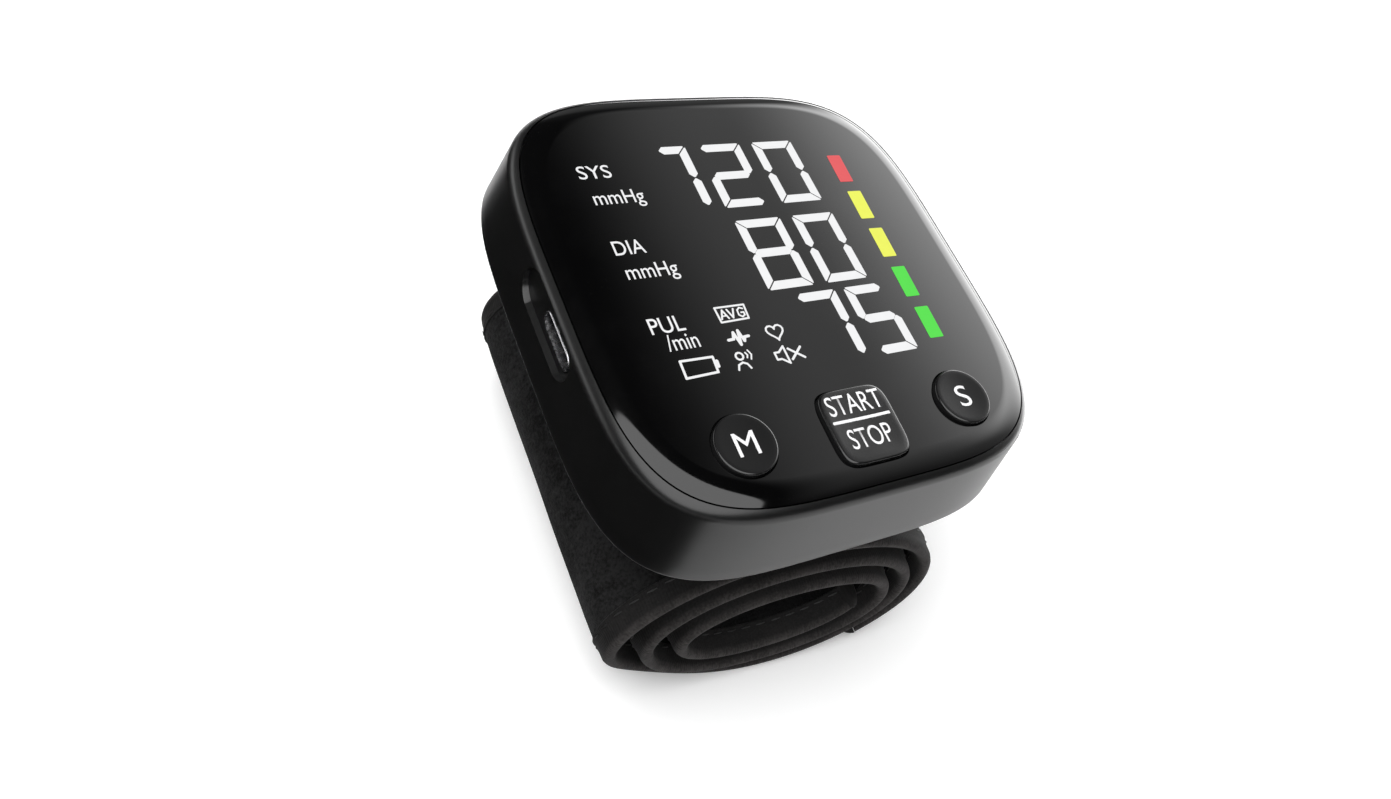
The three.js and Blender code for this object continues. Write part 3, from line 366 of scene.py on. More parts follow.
# Lit figures: seven-segment digits that shine through the smoked lens, three readings one above
# the other, each digit made of bars with mitred ends and a hair's breadth between them.
def lit_material(name, colour):
    material, tree, shader = new_material(
        name, Base_Color=(0, 0, 0), Roughness=0.35, Specular_IOR_Level=0, Emission_Strength=1.0
    )
    unevenness = add_noise(tree, object_position(tree), 900, 2)
    tint(tree, shader, unevenness, tuple(0.93 * c for c in colour), colour, "Emission Color")
    return material


lit_white = lit_material("lit_white", (0.95, 0.955, 0.965))
legend_thickness = 0.03
lens_top = lens_rise + 0.01


def cut_corners(bm, outline, corners, offset, segments):
    """The outline of a flat shape, with some of its corners cut or rounded."""
    if not corners:
        return outline
    made = bmesh.ops.bevel(
        bm, geom=corners, offset=offset, affect="VERTICES", segments=segments, profile=0.5, material=-1
    )
    return {v for v in outline if v.is_valid} | set(made["verts"])


def flat_bar(bm, start, end, width, mitre, top=lens_top, ends=("cut", "cut")):
    """A bar between two points. Each end is cut back at both corners, or slanted to meet the next bar."""
    start, end = Vector(start), Vector(end)
    along = end - start
    made = bmesh.ops.create_grid(bm, x_segments=1, y_segments=1, size=0.5)["verts"]
    bmesh.ops.scale(bm, vec=(along.length, width, 1), verts=made)
    plain = []
    for side, kind in zip((-1, 1), ends):
        pair = [v for v in made if v.co.x * side > 0]
        if kind == "cut":
            plain += pair
            continue
        for v in pair:
            outward = 1 if (v.co.y > 0) == (kind == "left") else -1
            v.co.x += side * outward * width / 2
    outline = cut_corners(bm, set(made), plain, mitre, 1)
    tips = [v for v in outline if abs(v.co.x) > along.length / 2 + width * 0.2]
    outline = list(cut_corners(bm, outline, tips, width * 0.22, 2))
    heading = Matrix.Rotation(math.atan2(along.y, along.x), 3, "Z")
    bmesh.ops.rotate(bm, cent=(0, 0, 0), matrix=heading, verts=outline)
    middle = (start + end) / 2
    bmesh.ops.translate(bm, vec=(middle.x, middle.y, top), verts=outline)


def thicken(bm):
    raised = bmesh.ops.extrude_face_region(bm, geom=list(bm.faces))["geom"]
    verts = [g for g in raised if isinstance(g, bmesh.types.BMVert)]
    bmesh.ops.translate(bm, vec=(0, 0, legend_thickness), verts=verts)


# Which bars each figure lights: top, upper left, upper right, middle, lower left, lower right, bottom.
figure_bars = {"0": "abcefg", "1": "acf", "2": "acdeg", "5": "abdfg", "7": "acf", "8": "abcdefg"}
bar_width = 1.42
bar_gap = 0.14
bar_mitre = 0.42 * bar_width

# Each bar runs between two of six corners. Seen along the bar, an end slants to the left or the right
# where the next bar turns off to the other side, and is cut at both corners where two bars meet it.
bar_ends = {
    "a": ("upper left", "upper right", "left", "left"),
    "b": ("upper left", "middle left", "right", "cut"),
    "c": ("upper right", "middle right", "left", "cut"),
    "d": ("middle left", "middle right", "cut", "cut"),
    "e": ("middle left", "lower left", "cut", "right"),
    "f": ("middle right", "lower right", "cut", "left"),
    "g": ("lower left", "lower right", "right", "right"),
}


def on_lens(x, y):
    """Where a point of the display, as measured in the photograph, lies on the lens."""
    return 0.9949 * x - 0.41, 0.9949 * y - 0.34


def light_figure(bm, figure, across, up, serif):
    """Lights a figure's bars. The top bar of a 1 is short, and starts at the serif."""
    lit = figure_bars[figure]
    for key in lit:
        corners, slants = bar_ends[key][:2], bar_ends[key][2:]
        points = []
        for corner in corners:
            level, side = corner.split()
            short = serif is not None and key == "a" and side == "left"
            points.append(Vector(on_lens(serif if short else across[side], up[level])))
        ends = []
        for corner, slant in zip(corners, slants):
            met = sum(1 for other in lit if other != key and corner in bar_ends[other][:2])
            ends.append(slant if met == 1 else "cut")
        gap = (points[1] - points[0]).normalized() * bar_gap
        flat_bar(bm, points[0] + gap, points[1] - gap, bar_width, bar_mitre, ends=ends)


# The heights of the corners in each reading, and its figures with their left and right sides.
systolic = {"upper": 23.55, "middle": 18.05, "lower": 12.7}
diastolic = {"upper": 8.75, "middle": 3.35, "lower": -2.4}
pulse = {"upper": -5.05, "middle": -10.1, "lower": -15.5}
figures = [
    ("1", systolic, -12.0, -5.95, -9.9),
    ("2", systolic, -2.75, 3.60, None),
    ("0", systolic, 7.25, 13.20, None),
    ("8", diastolic, -2.55, 3.90, None),
    ("0", diastolic, 7.45, 13.55, None),
    ("7", pulse, 0.6, 6.65, None),
    ("5", pulse, 9.65, 15.45, None),
]
bm = bmesh.new()
for figure, reading, left, right, serif in figures:
    light_figure(bm, figure, {"left": left, "right": right}, reading, serif)
thicken(bm)
belongs(make_object("lit_figures", bm, lit_white), "monitor", "lens")


# Range bars: five lit blocks down the right side of the display, red, two yellow and two green,
# which show how high the reading is.
range_colours = [
    ("red", (0.85, 0.145, 0.155)),
    ("yellow_high", (0.92, 0.97, 0.15)),
    ("yellow_low", (0.92, 0.97, 0.15)),
    ("green_high", (0.125, 0.81, 0.105)),
    ("green_low", (0.125, 0.81, 0.105)),
]
range_top, range_pitch = 17.89, 7.53
block_half, block_width, block_cut = 2.76, 2.5, 0.12
for i, (name, colour) in enumerate(range_colours):
    x, y = 20.46 + 0.02 * i, range_top - range_pitch * i
    bm = bmesh.new()
    low, high = on_lens(x - 0.1, y - block_half), on_lens(x + 0.1, y + block_half)
    flat_bar(bm, low, high, block_width, block_cut)
    thicken(bm)
    belongs(make_object("range_block_" + name, bm, lit_material("lit_" + name, colour)), "monitor", "lens")


# Words and signs beside the readings: units and names of the three readings, a battery, an average
# sign, an uneven pulse, a heart, a voice sign and a muted speaker, all lit the same white.
def lay_text(name, text, centre, height, width, material, top=lens_top):
    """Letters stretched to a height and a width about their centre, made a mesh and thickened."""
    curve = bpy.data.curves.new(name, "FONT")
    curve.body = text
    curve.size = 1
    curve.resolution_u = 6
    holder = bpy.data.objects.new(name, curve)
    scene.collection.objects.link(holder)
    bpy.context.view_layer.update()
    mesh = bpy.data.meshes.new_from_object(holder.evaluated_get(bpy.context.evaluated_depsgraph_get()))
    bpy.data.objects.remove(holder)
    xs = [v.co.x for v in mesh.vertices]
    ys = [v.co.y for v in mesh.vertices]
    stretch = (width / (max(xs) - min(xs)), height / (max(ys) - min(ys)), 1, 1)
    mesh.transform(Matrix.Translation((-(min(xs) + max(xs)) / 2, -(min(ys) + max(ys)) / 2, 0)))
    mesh.transform(Matrix.Translation((*centre, top)) @ Matrix.Diagonal(stretch))
    bm = bmesh.new()
    bm.from_mesh(mesh)
    bpy.data.meshes.remove(mesh)
    bmesh.ops.remove_doubles(bm, verts=bm.verts, dist=0.001)
    bmesh.ops.triangulate(bm, faces=bm.faces)
    thicken(bm)
    return make_object(name, bm, material)


words = [
    ("name_systolic", "SYS", (-21.4, 20.3), 2.35, 5.0),
    ("unit_systolic", "mmHg", (-19.35, 15.2), 3.15, 7.7),
    ("name_diastolic", "DIA", (-21.2, 6.8), 2.35, 4.6),
    ("unit_diastolic", "mmHg", (-19.35, 2.3), 3.15, 7.7),
    ("name_pulse", "PUL", (-20.8, -6.2), 2.45, 5.0),
    ("unit_pulse", "/min", (-19.6, -9.0), 2.5, 4.6),
]
for name, text, centre, height, width in words:
    belongs(lay_text(name, text, on_lens(*centre), height, width, lit_white), "monitor", "lens")

heart = []
for i in range(24):
    a = 2 * math.pi * i / 24
    rise = 13 * math.cos(a) - 5 * math.cos(2 * a) - 2 * math.cos(3 * a) - math.cos(4 * a)
    heart.append((-5.5 + 0.083 * 16 * math.sin(a) ** 3, -9.75 + 0.083 * rise))
twelfths = [math.pi * i / 6 for i in range(12)]
head = [(-12.55 + 0.55 * math.cos(a), -12.6 + 0.55 * math.sin(a)) for a in twelfths]
letter_g = [(-8.75, -5.35), (-9.2, -5.15), (-9.65, -5.5), (-9.7, -6.3), (-9.25, -6.65)]
letter_g += [(-8.8, -6.4), (-8.8, -5.95), (-9.2, -5.95)]
pulse_line = [(-13.0, -9.95), (-12.2, -9.9), (-11.85, -8.9), (-11.45, -10.9), (-11.05, -8.7)]
pulse_line += [(-10.7, -10.4), (-10.45, -9.8), (-9.8, -9.75)]
speaker = [(-7.2, -13.0), (-6.5, -13.0), (-5.5, -12.2), (-5.5, -14.9), (-6.5, -14.1), (-7.2, -14.1)]

# Each line of the signs: its width, whether it closes, and its points. They draw the battery, the
# average sign, the uneven pulse, the heart, the voice sign and the muted speaker, in this order.
sign_lines = [
    (0.34, True, [(-21.2, -11.9), (-16.4, -12.0), (-16.55, -14.35), (-21.3, -14.5)]),
    (0.5, False, [(-16.1, -12.75), (-16.15, -13.5)]),
    (0.28, True, [(-12.9, -4.7), (-8.3, -4.75), (-8.45, -7.0), (-12.8, -7.1)]),
    (0.26, False, [(-12.5, -6.6), (-11.95, -5.2), (-11.4, -6.6)]),
    (0.2, False, [(-12.25, -6.15), (-11.65, -6.15)]),
    (0.26, False, [(-11.2, -5.2), (-10.7, -6.6), (-10.2, -5.2)]),
    (0.24, False, letter_g),
    (0.42, False, pulse_line),
    (0.27, True, heart),
    (0.28, True, head),
    (0.28, False, [(-13.5, -14.6), (-13.2, -13.9), (-12.5, -13.6), (-11.9, -13.9), (-11.6, -14.6)]),
    (0.22, False, [(-11.5, -12.2), (-11.3, -12.6), (-11.5, -13.0)]),
    (0.22, False, [(-11.0, -11.9), (-10.7, -12.6), (-11.0, -13.3)]),
    (0.3, True, speaker),
    (0.34, False, [(-4.9, -12.7), (-2.9, -14.4)]),
    (0.34, False, [(-2.9, -12.7), (-4.9, -14.4)]),
]
bm = bmesh.new()
for width, closed, points in sign_lines:
    spots = [Vector(on_lens(x, y)) for x, y in points]
    for start, end in zip(spots, spots[1:] + spots[:1] if closed else spots[1:]):
        overlap = (end - start).normalized() * (width / 2)
        flat_bar(bm, start - overlap, end + overlap, width, width * 0.3)
thicken(bm)
belongs(make_object("lit_signs", bm, lit_white), "monitor", "lens")


# Lens gasket: a thin foam ring, hidden between the lens's skirt and the ledge of the housing. Like
# the other inner pieces it keeps its own shape, with the finish such a piece has.
def add_bump(tree, shader, height, strength, distance):
    bump = add_node(tree, "Bump", {"Strength": strength, "Distance": distance, "Height": height})
    tree.links.new(bump.outputs["Normal"], shader.inputs["Normal"])


def mottled(name, scale, detail, dark, light, rough=None, bump=None, **settings):
    """A finish whose colour drifts between two tones, with its roughness and its height if given."""
    material, tree, shader = new_material(name, **settings)
    drift = add_noise(tree, object_position(tree), scale, detail)
    tint(tree, shader, drift, dark, light)
    if rough:
        tree.links.new(remap(tree, drift, 0.3, 0.7, *rough), shader.inputs["Roughness"])
    if bump:
        add_bump(tree, shader, drift, *bump)
    return material


def dress(material, *nodes):
    for node in nodes:
        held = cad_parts[node]
        held.data.materials.clear()
        held.data.materials.append(material)
        for polygon in held.data.polygons:
            polygon.material_index = 0


foam_rubber = mottled(
    "foam_rubber", 2600, 3, (0.008, 0.008, 0.008), (0.03, 0.03, 0.03), bump=(0.6, 0.0001), Roughness=0.9
)
dress(foam_rubber, "lens_gasket", "battery_foam_tape")


# Housing: a moulded shell of dark satin plastic. Its wall flares out towards the rear, its rim is
# rounded round the lens, and a shallow scoop in the left wall takes the charging socket.
grain, given = open_group("moulded_grain", Position=(0, 0, 0), Coarseness=1.0)
scaling = {0: given["Position"], "Scale": given["Coarseness"]}
grain_place = add_node(grain, "VectorMath", scaling, operation="SCALE").outputs["Vector"]
pits = add_node(grain, "TexVoronoi", {"Vector": grain_place, "Scale": 5200}, feature="SMOOTH_F1")
fine = add_noise(grain, grain_place, 9000, 3, 0.6)
mottle = remap(grain, add_noise(grain, given["Position"], 70, 4), 0.3, 0.7, 0, 1)
close_group(grain, Height=add_math(grain, "ADD", pits.outputs["Distance"], fine), Mottle=mottle)


def satin_plastic(name, dark, light, clean, smeared, grain_depth, coarseness=1.0, gloss=0.5):
    material, tree, shader = new_material(name, Base_Color=dark, IOR=1.5, Specular_IOR_Level=gloss)
    place = object_position(tree)
    smears = place_group(tree, handling, Position=place, Clean=clean, Smeared=smeared)
    surface = place_group(tree, grain, Position=place, Coarseness=coarseness)
    tree.links.new(smears["Roughness"], shader.inputs["Roughness"])
    tint(tree, shader, surface["Mottle"], dark, light)
    add_bump(tree, shader, surface["Height"], 0.35, grain_depth)
    return material


satin_shell = satin_plastic(
    "satin_shell", (0.004, 0.004, 0.0041), (0.0055, 0.0055, 0.0056), 0.275, 0.285, 0.000008
)
housing_depth = 14.75
rim_width, rim_gap = 1.4, 0.15
shell_wall, rear_round = 1.9, 1.4
ledge_width, ledge_top = 2.1, skirt_bottom - 0.3
ledge_bottom = ledge_top - 1
rim_half = (lens_half[0] + rim_width, lens_half[1] + rim_width)
flare = (1.1, 2)
rear_power = 4.34
rim_start, rim_end = math.radians(28), math.radians(82)
rim_radius = (rim_width - rim_gap) / (math.sin(rim_end) - math.sin(rim_start))
wall_top = rim_radius * (math.cos(rim_end) - math.cos(rim_start))
wall_bottom = rear_round - housing_depth


def wall_half(z):
    """Half width and half length of the flared wall at a height, and the power of its outline."""
    share = (wall_top - z) / (wall_top - wall_bottom)
    power = lens_power + (rear_power - lens_power) * share
    return rim_half[0] + flare[0] * share, rim_half[1] + flare[1] * share, power


def wall_ring(bm, z, inset=0, outline_at=None):
    half_x, half_y, power = wall_half(z if outline_at is None else outline_at)
    return superellipse_ring(bm, z, half_x - inset, half_y - inset, power)


def quarter_round(radius, steps=6):
    """How far in and how far down the points of a quarter round lie, from its side to its top."""
    angles = [math.pi / 2 * i / steps for i in range(steps + 1)]
    return [(radius * (1 - math.cos(a)), radius * (1 - math.sin(a))) for a in angles]


bm = bmesh.new()
rings = [wall_ring(bm, -housing_depth, shell_wall)]
for rise, inset in quarter_round(rear_round):
    rings.append(wall_ring(bm, rise - housing_depth, inset, wall_bottom))
rings += [wall_ring(bm, wall_bottom + (wall_top - wall_bottom) * i / 6) for i in range(1, 6)]
for i in range(17):
    angle = rim_end + (rim_start - rim_end) * i / 16
    inset = rim_radius * (math.sin(rim_end) - math.sin(angle))
    rise = rim_radius * (math.cos(angle) - math.cos(rim_end))
    rings.append(lens_ring(bm, wall_top + rise, inset - rim_width))
rings += [
    lens_ring(bm, -0.08, 0.02 - rim_gap),
    lens_ring(bm, ledge_top, -rim_gap),
    lens_ring(bm, ledge_top, ledge_width - rim_gap),
    lens_ring(bm, ledge_bottom, ledge_width - rim_gap),
    wall_ring(bm, ledge_bottom - 0.1, shell_wall),
]
skin_rings(bm, rings, closed=True)
shell_body = make_object("shell_body", bm, satin_shell)

socket_place = (-3.4, -4.15)
socket_size, socket_play = (8.94, 3.26), 0.3
scoop_middle, scoop_depth = -0.5, 0.6
scoop_mouth, scoop_floor = (18, 7.5), (16.6, 6.1)
socket_mouth_x = scoop_depth - wall_half(socket_place[1])[0]


def stadium_ring(bm, x, centre_y, length, height, arc_sides=24):
    """A ring with two half-round ends, upright at the socket's height on the left wall."""
    straight = (length - height) / 2
    made = bmesh.ops.create_circle(bm, segments=2 * arc_sides, radius=height / 2, cap_ends=False)["verts"]
    for v in made:
        y, z = v.co.x, v.co.y
        shift = math.copysign(straight, y) if abs(y) > 1e-6 else 0
        v.co = Vector((socket_mouth_x + x, centre_y + y + shift, socket_place[1] + z))
    return list({e for v in made for e in v.link_edges})


def socket_ring(bm, x, wider):
    return stadium_ring(bm, x, socket_place[0], socket_size[0] + wider, socket_size[1] + wider)


bm = bmesh.new()
rings = [stadium_ring(bm, -3, scoop_middle, *scoop_mouth), stadium_ring(bm, 0, scoop_middle, *scoop_floor)]
scoop = stack_solid("scoop", bm, rings, satin_shell)
bm = bmesh.new()
rings = [socket_ring(bm, -1, socket_play), socket_ring(bm, 4, socket_play)]
socket_hole = stack_solid("socket_hole", bm, rings, satin_shell)
cut_away(shell_body, scoop, socket_hole)
belongs(shell_body, "monitor", "housing", "main_housing")


# Buttons: satin black caps with a dished top and a polished round edge, moulded with a flange that
# keeps them under the lens and a stem that reaches down to the switch. The round ones are turned.
key_plastic = satin_plastic(
    "key_plastic", (0.014, 0.014, 0.0142), (0.016, 0.016, 0.0162), 0.09, 0.14, 0.00001, gloss=0.085
)
key_edge = satin_plastic(
    "key_edge", (0.005, 0.005, 0.0051), (0.007, 0.007, 0.0071), 0.14, 0.17, 0.00001
)
button_top = lens_rise + 0.7
flange_width, flange_top = 0.55, lens_underside - 0.3
flange_bottom = flange_top - 0.8
stem_radius, stem_bottom = 1.6, flange_bottom - 0.5
cap_round = 0.3
dish = 0.12


def cap_top(half):
    """A cap's outline over its round edge and down its dish: half width, height and share inwards."""
    edge = [(half - inset, button_top - drop, 0) for inset, drop in quarter_round(cap_round)]
    inwards = [i / 8 for i in range(1, 9)]
    flat = half - cap_round
    return edge + [(flat * (1 - s), button_top - dish * math.sin(s * math.pi / 2), s) for s in inwards]


def finish_cap(name, bm, body, node):
    """Makes the cap a piece, with the round edge of its top polished."""
    bmesh.ops.recalc_face_normals(bm, faces=bm.faces)
    for face in bm.faces:
        if face.calc_center_median().z > button_top - cap_round and face.normal.z < 0.97:
            face.material_index = 1
    cap = make_object(name, bm, key_plastic)
    cap.data.materials.append(key_edge)
    belongs(cap, body, "button", node)


for body, node in (("memory_key", "memory_button"), ("set_key", "set_button")):
    centre, radius, power, sides = buttons[body]
    profile = [
        (0, stem_bottom),
        (stem_radius, stem_bottom),
        (stem_radius, flange_bottom),
        (radius + flange_width, flange_bottom),
        (radius + flange_width, flange_top),
        (radius, flange_top),
    ]
    profile += [(half, z) for half, z, share in cap_top(radius)]
    bm = bmesh.new()
    line = [bm.verts.new((r, 0, z)) for r, z in profile]
    line += [bm.edges.new(pair) for pair in zip(line, line[1:])]
    full = 2 * math.pi
    bmesh.ops.spin(bm, geom=line, axis=(0, 0, 1), cent=(0, 0, 0), angle=full, steps=sides, use_merge=True)
    bmesh.ops.remove_doubles(bm, verts=bm.verts, dist=0.0005)
    bmesh.ops.translate(bm, vec=(*centre, 0), verts=bm.verts)
    finish_cap(body + "_cap", bm, body, node)

centre, half, power, sides = buttons["start_stop_key"]
levels = [
    (stem_bottom, stem_radius, stem_radius, 2),
    (flange_bottom, stem_radius, stem_radius, 2),
    (flange_bottom, half + flange_width, half + button_clearance, power),
    (flange_top, half + flange_width, half + button_clearance, power),
    (flange_top, half, half, power),
]
levels += [(z, wide, wide, power - 2.5 * share) for wide, z, share in cap_top(half)[:-1]]
bm = bmesh.new()
rings = [superellipse_ring(bm, z, wide, long, bow, sides, centre) for z, wide, long, bow in levels]
skin_rings(bm, rings)
cap_rings(bm, rings[0], rings[-1])
finish_cap("start_stop_cap", bm, "start_stop_key", "start_stop_button")


# Button legends: white pad-printed letters on the caps, and a line between the two words on the
# middle one. They follow the dish of the caps and move with their buttons.
# The white print also glows faintly: a painted glow that brightens the letters beyond what the lamps give.
print_white_painted_glow = mottled(
    "print_white_painted_glow",
    1500,
    3,
    (0.66, 0.66, 0.67),
    (0.80, 0.80, 0.81),
    Roughness=0.5,
    Emission_Color=(1, 1, 1),
    Emission_Strength=0.12,
)


def print_on_cap(made, body):
    """Drapes a flat legend over the dish of its button's cap."""
    centre, half = buttons[body][:2]
    inverse = to_part.inverted()
    for v in made.data.vertices:
        here = inverse @ v.co
        far = math.hypot(here.x - centre[0], here.y - centre[1])
        share = 1 - min(1, far / (half - cap_round))
        here.z += button_top + 0.005 - dish * math.sin(share * math.pi / 2)
        v.co = to_part @ here
    belongs(made, body, "button")


legends = [
    ("legend_m", "M", "memory_key", 0, 3.3, 3.1),
    ("legend_s", "S", "set_key", 0, 3.3, 2.1),
    ("legend_start", "START", "start_stop_key", 3.15, 2.9, 8.9),
    ("legend_stop", "STOP", "start_stop_key", -1.95, 2.9, 6.9),
]
for name, text, body, raised, height, width in legends:
    x, y = buttons[body][0]
    print_on_cap(lay_text(name, text, (x, y + raised), height, width, print_white_painted_glow, 0), body)
line_y = buttons["start_stop_key"][0][1] + 0.75
line_half, line_width, line_cut = 4.7, 0.42, 0.08
bm = bmesh.new()
flat_bar(bm, (-line_half, line_y), (line_half, line_y), line_width, line_cut, 0)
bmesh.ops.subdivide_edges(bm, edges=[e for e in bm.edges if e.calc_length() > 3], cuts=12)
thicken(bm)
print_on_cap(make_object("legend_line", bm, print_white_painted_glow), "start_stop_key")


# Charging socket: a shell rolled from bright steel, its rounded rim just proud of the floor of the
# scoop, round a black tongue of the resin that the chips and switches are moulded in too.
bright_steel = mottled(
    "bright_steel", 1200, 4, (0.70, 0.70, 0.72), (0.82, 0.82, 0.84), rough=(0.18, 0.32), Metallic=1.0
)
lip, socket_length, steel = 0.14, 7.3, 0.3
socket_steps = [
    (socket_length, 0),
    (0, 0),
    (-0.4 * lip, -0.06),
    (-0.8 * lip, -0.2),
    (-lip, -0.36),
    (0.02 - lip, -2 * steel),
    (socket_length, -2 * steel),
]
bm = bmesh.new()
skin_rings(bm, [socket_ring(bm, x, wider) for x, wider in socket_steps], closed=True)
belongs(make_object("socket_shell", bm, bright_steel), "monitor", "socket_steel", "usb_c_receptacle")
chip_resin = mottled(
    "chip_resin", 3000, 3, (0.008, 0.008, 0.009), (0.018, 0.018, 0.019), bump=(0.3, 0.00003), Roughness=0.55
)
dress(chip_resin, "usb_c_contact_block", "microcontroller", "pressure_sensor", "speaker")
dress(chip_resin, "memory_switch", "start_stop_switch", "set_switch")


# Wound strip: the cuff is one padded strip, rolled up in an oval spiral with its loose end outside.
# Its two faces are brushed loop fabric that the hook patch grips.
cuff_turns = 92 / 30
roll_centre = (-1.52, -35.974)
spiral_start = math.radians(-20)
spiral_width, wider_each_turn = 15.05, 4.75
spiral_height, higher_each_turn = 6.1, 3.98
left_each_turn = 0.55
oval_power = 2 / 2.05
saddle_top = -housing_depth - 0.1
roll_floor = -parting.z * 1000
near_line, far_line = -35.8, 24.5


def roll_middle(turn):
    """The middle of the strip's thickness, a number of turns out from its inner end."""
    angle = spiral_start - 2 * math.pi * turn
    c, s = math.cos(angle), math.sin(angle)
    wide = (spiral_width + wider_each_turn * turn) * math.copysign(abs(c) ** oval_power, c)
    high = (spiral_height + higher_each_turn * turn) * math.copysign(abs(s) ** oval_power, s)
    return Vector((roll_centre[0] - left_each_turn * turn + wide, roll_centre[1] + high))


def roll_point(turn, offset):
    middle = roll_middle(turn)
    along = (roll_middle(turn + 1 / 120) - roll_middle(turn - 1 / 120)).normalized()
    return Vector((middle.x - along.y * offset, middle.y + along.x * offset))


def near_edge(turn):
    """The near edge slants, and steps back with each turn outwards, at the inner end and low on the left."""
    point = roll_middle(turn)
    flap = 1.2 * max(0, 1 - turn / 0.45)
    tuck = 2.2 * math.exp(-(((turn - 2.33) / 0.1) ** 2))
    slant = 0.2 * (point.y - saddle_top) - 0.06 * point.x
    return near_line + slant + 0.55 * (turn - 1.528) + flap + tuck


def far_edge(turn):
    return far_line - 0.08 * (roll_middle(turn).y - roll_centre[1])


def lengths_along(turns):
    total, last, found = 0, roll_middle(turns[0]), []
    for turn in turns:
        here = roll_middle(turn)
        total += (here - last).length
        last = here
        found.append(total)
    return found


def wind_strip(bm, turns, profile_at):
    """Extrudes a closed profile along the spiral, and returns the length that it winds.

    profile_at lists each point's y and distance outwards and, on folded tape, its place across the tape.
    """
    order = bm.verts.layers.int.new("order")
    along_layer = bm.verts.layers.float.new("along")
    across_layer = bm.verts.layers.float.new("across")
    lengths = lengths_along(turns)

    def set_place(vert, turn, length):
        y, offset, *across = profile_at(turn, length)[vert[order]]
        point = roll_point(turn, offset)
        vert.co = Vector((point.x, y, max(point.y, roll_floor)))
        vert[along_layer] = length / 1000
        vert[across_layer] = (across[0] if across else y) / 1000

    ring = [bm.verts.new() for _ in profile_at(turns[0], 0)]
    for i, vert in enumerate(ring):
        vert[order] = i
        set_place(vert, turns[0], 0)
    first = edges = [bm.edges.new(pair) for pair in zip(ring, ring[1:] + ring[:1])]
    for turn, length in zip(turns[1:], lengths[1:]):
        made = bmesh.ops.extrude_edge_only(bm, edges=edges)["geom"]
        fresh = {g for g in made if isinstance(g, bmesh.types.BMVert)}
        for vert in fresh:
            set_place(vert, turn, length)
        edges = [g for g in made if isinstance(g, bmesh.types.BMEdge) and fresh.issuperset(g.verts)]
    cap_rings(bm, first, edges)
    return lengths[-1]


def turns_between(low, high, steps_per_turn=120):
    steps = max(2, round((high - low) * steps_per_turn))
    return [low + (high - low) * i / steps for i in range(steps + 1)]


# Loop pile: short brushed loops laid over each other, seen as soft flecks and a fuzzy sheen.
pile, given = open_group("loop_pile", Position=(0, 0, 0), Fleck=1.0)
scaling = {0: given["Position"], "Scale": given["Fleck"]}
fleck_place = add_node(pile, "VectorMath", scaling, operation="SCALE").outputs["Vector"]
loops = add_noise(pile, fleck_place, 1900, 5, 0.65)
tufts = add_noise(pile, fleck_place, 700, 4, 0.6)
nap = add_noise(pile, fleck_place, 90, 3)
pile_height = add_math(pile, "MULTIPLY_ADD", tufts, 0.45, loops)
shade = remap(pile, add_math(pile, "MULTIPLY_ADD", nap, 0.8, pile_height), 0.98, 1.27, 0, 1)
close_group(pile, Height=pile_height, Shade=shade)


def cloth_attribute(tree, name):
    return add_node(tree, "Attribute", attribute_name=name).outputs["Fac"]


def cloth_position(tree):
    places = (cloth_attribute(tree, "along"), cloth_attribute(tree, "across"))
    return add_node(tree, "CombineXYZ", places).outputs["Vector"]


def pile_fabric(name, dark, light, fleck, depth, sheen):
    material, tree, shader = new_material(
        name,
        Base_Color=dark,
        Roughness=0.92,
        Specular_IOR_Level=0.12,
        Sheen_Weight=sheen,
        Sheen_Roughness=0.4,
        Sheen_Tint=(0.9, 0.9, 0.92),
    )
    surface = place_group(tree, pile, Position=cloth_position(tree), Fleck=fleck)
    tint(tree, shader, surface["Shade"], dark, light)
    add_bump(tree, shader, surface["Height"], 0.8, depth)
    return material


brushed_loop = pile_fabric(
    "brushed_loop", (0.001, 0.001, 0.001), (0.0155, 0.0155, 0.0157), 1.0, 0.0003, 0.015
)
lining_cloth = pile_fabric(
    "lining_cloth", (0.002, 0.002, 0.0021), (0.011, 0.011, 0.0113), 1.6, 0.00012, 0.01
)
whole = turns_between(0, cuff_turns)
face_out, face_in = 1.4, 0.75
swell_rise, ripple_rise, seam_dip = 0.06, 0.12, 0.1
sleeve_inset = 3.7
sleeve_parts = 14


def sleeve_profile(side, seed):
    """One face of the strip, swollen between the bindings and softly rippled."""

    def at(turn, length):
        near, far = near_edge(turn) + sleeve_inset, far_edge(turn) - sleeve_inset
        out_row, in_row = [], []
        for i in range(sleeve_parts + 1):
            y = near + (far - near) * i / sleeve_parts
            swell = math.sin(math.pi * i / sleeve_parts) ** 0.4
            ripple = noise.noise(Vector((length / 9, y / 13, seed))) * ripple_rise
            lift = (swell_rise + ripple) * swell - seam_dip * (1 - swell)
            out_row.append((y, side * (face_out + lift)))
            in_row.append((y, side * (face_in + lift)))
        return out_row + in_row[::-1]

    return at


bm = bmesh.new()
outer_length = wind_strip(bm, whole, sleeve_profile(1, 3.1))
outer_sleeve = make_object("outer_sleeve", bm, brushed_loop)
belongs(outer_sleeve, "monitor", "cuff_fabric", "cuff_outer_sleeve")
bm = bmesh.new()
inner_length = wind_strip(bm, whole, sleeve_profile(-1, 7.7))
inner_sleeve = make_object("inner_sleeve", bm, lining_cloth)
belongs(inner_sleeve, "monitor", "cuff_fabric", "cuff_inner_sleeve")
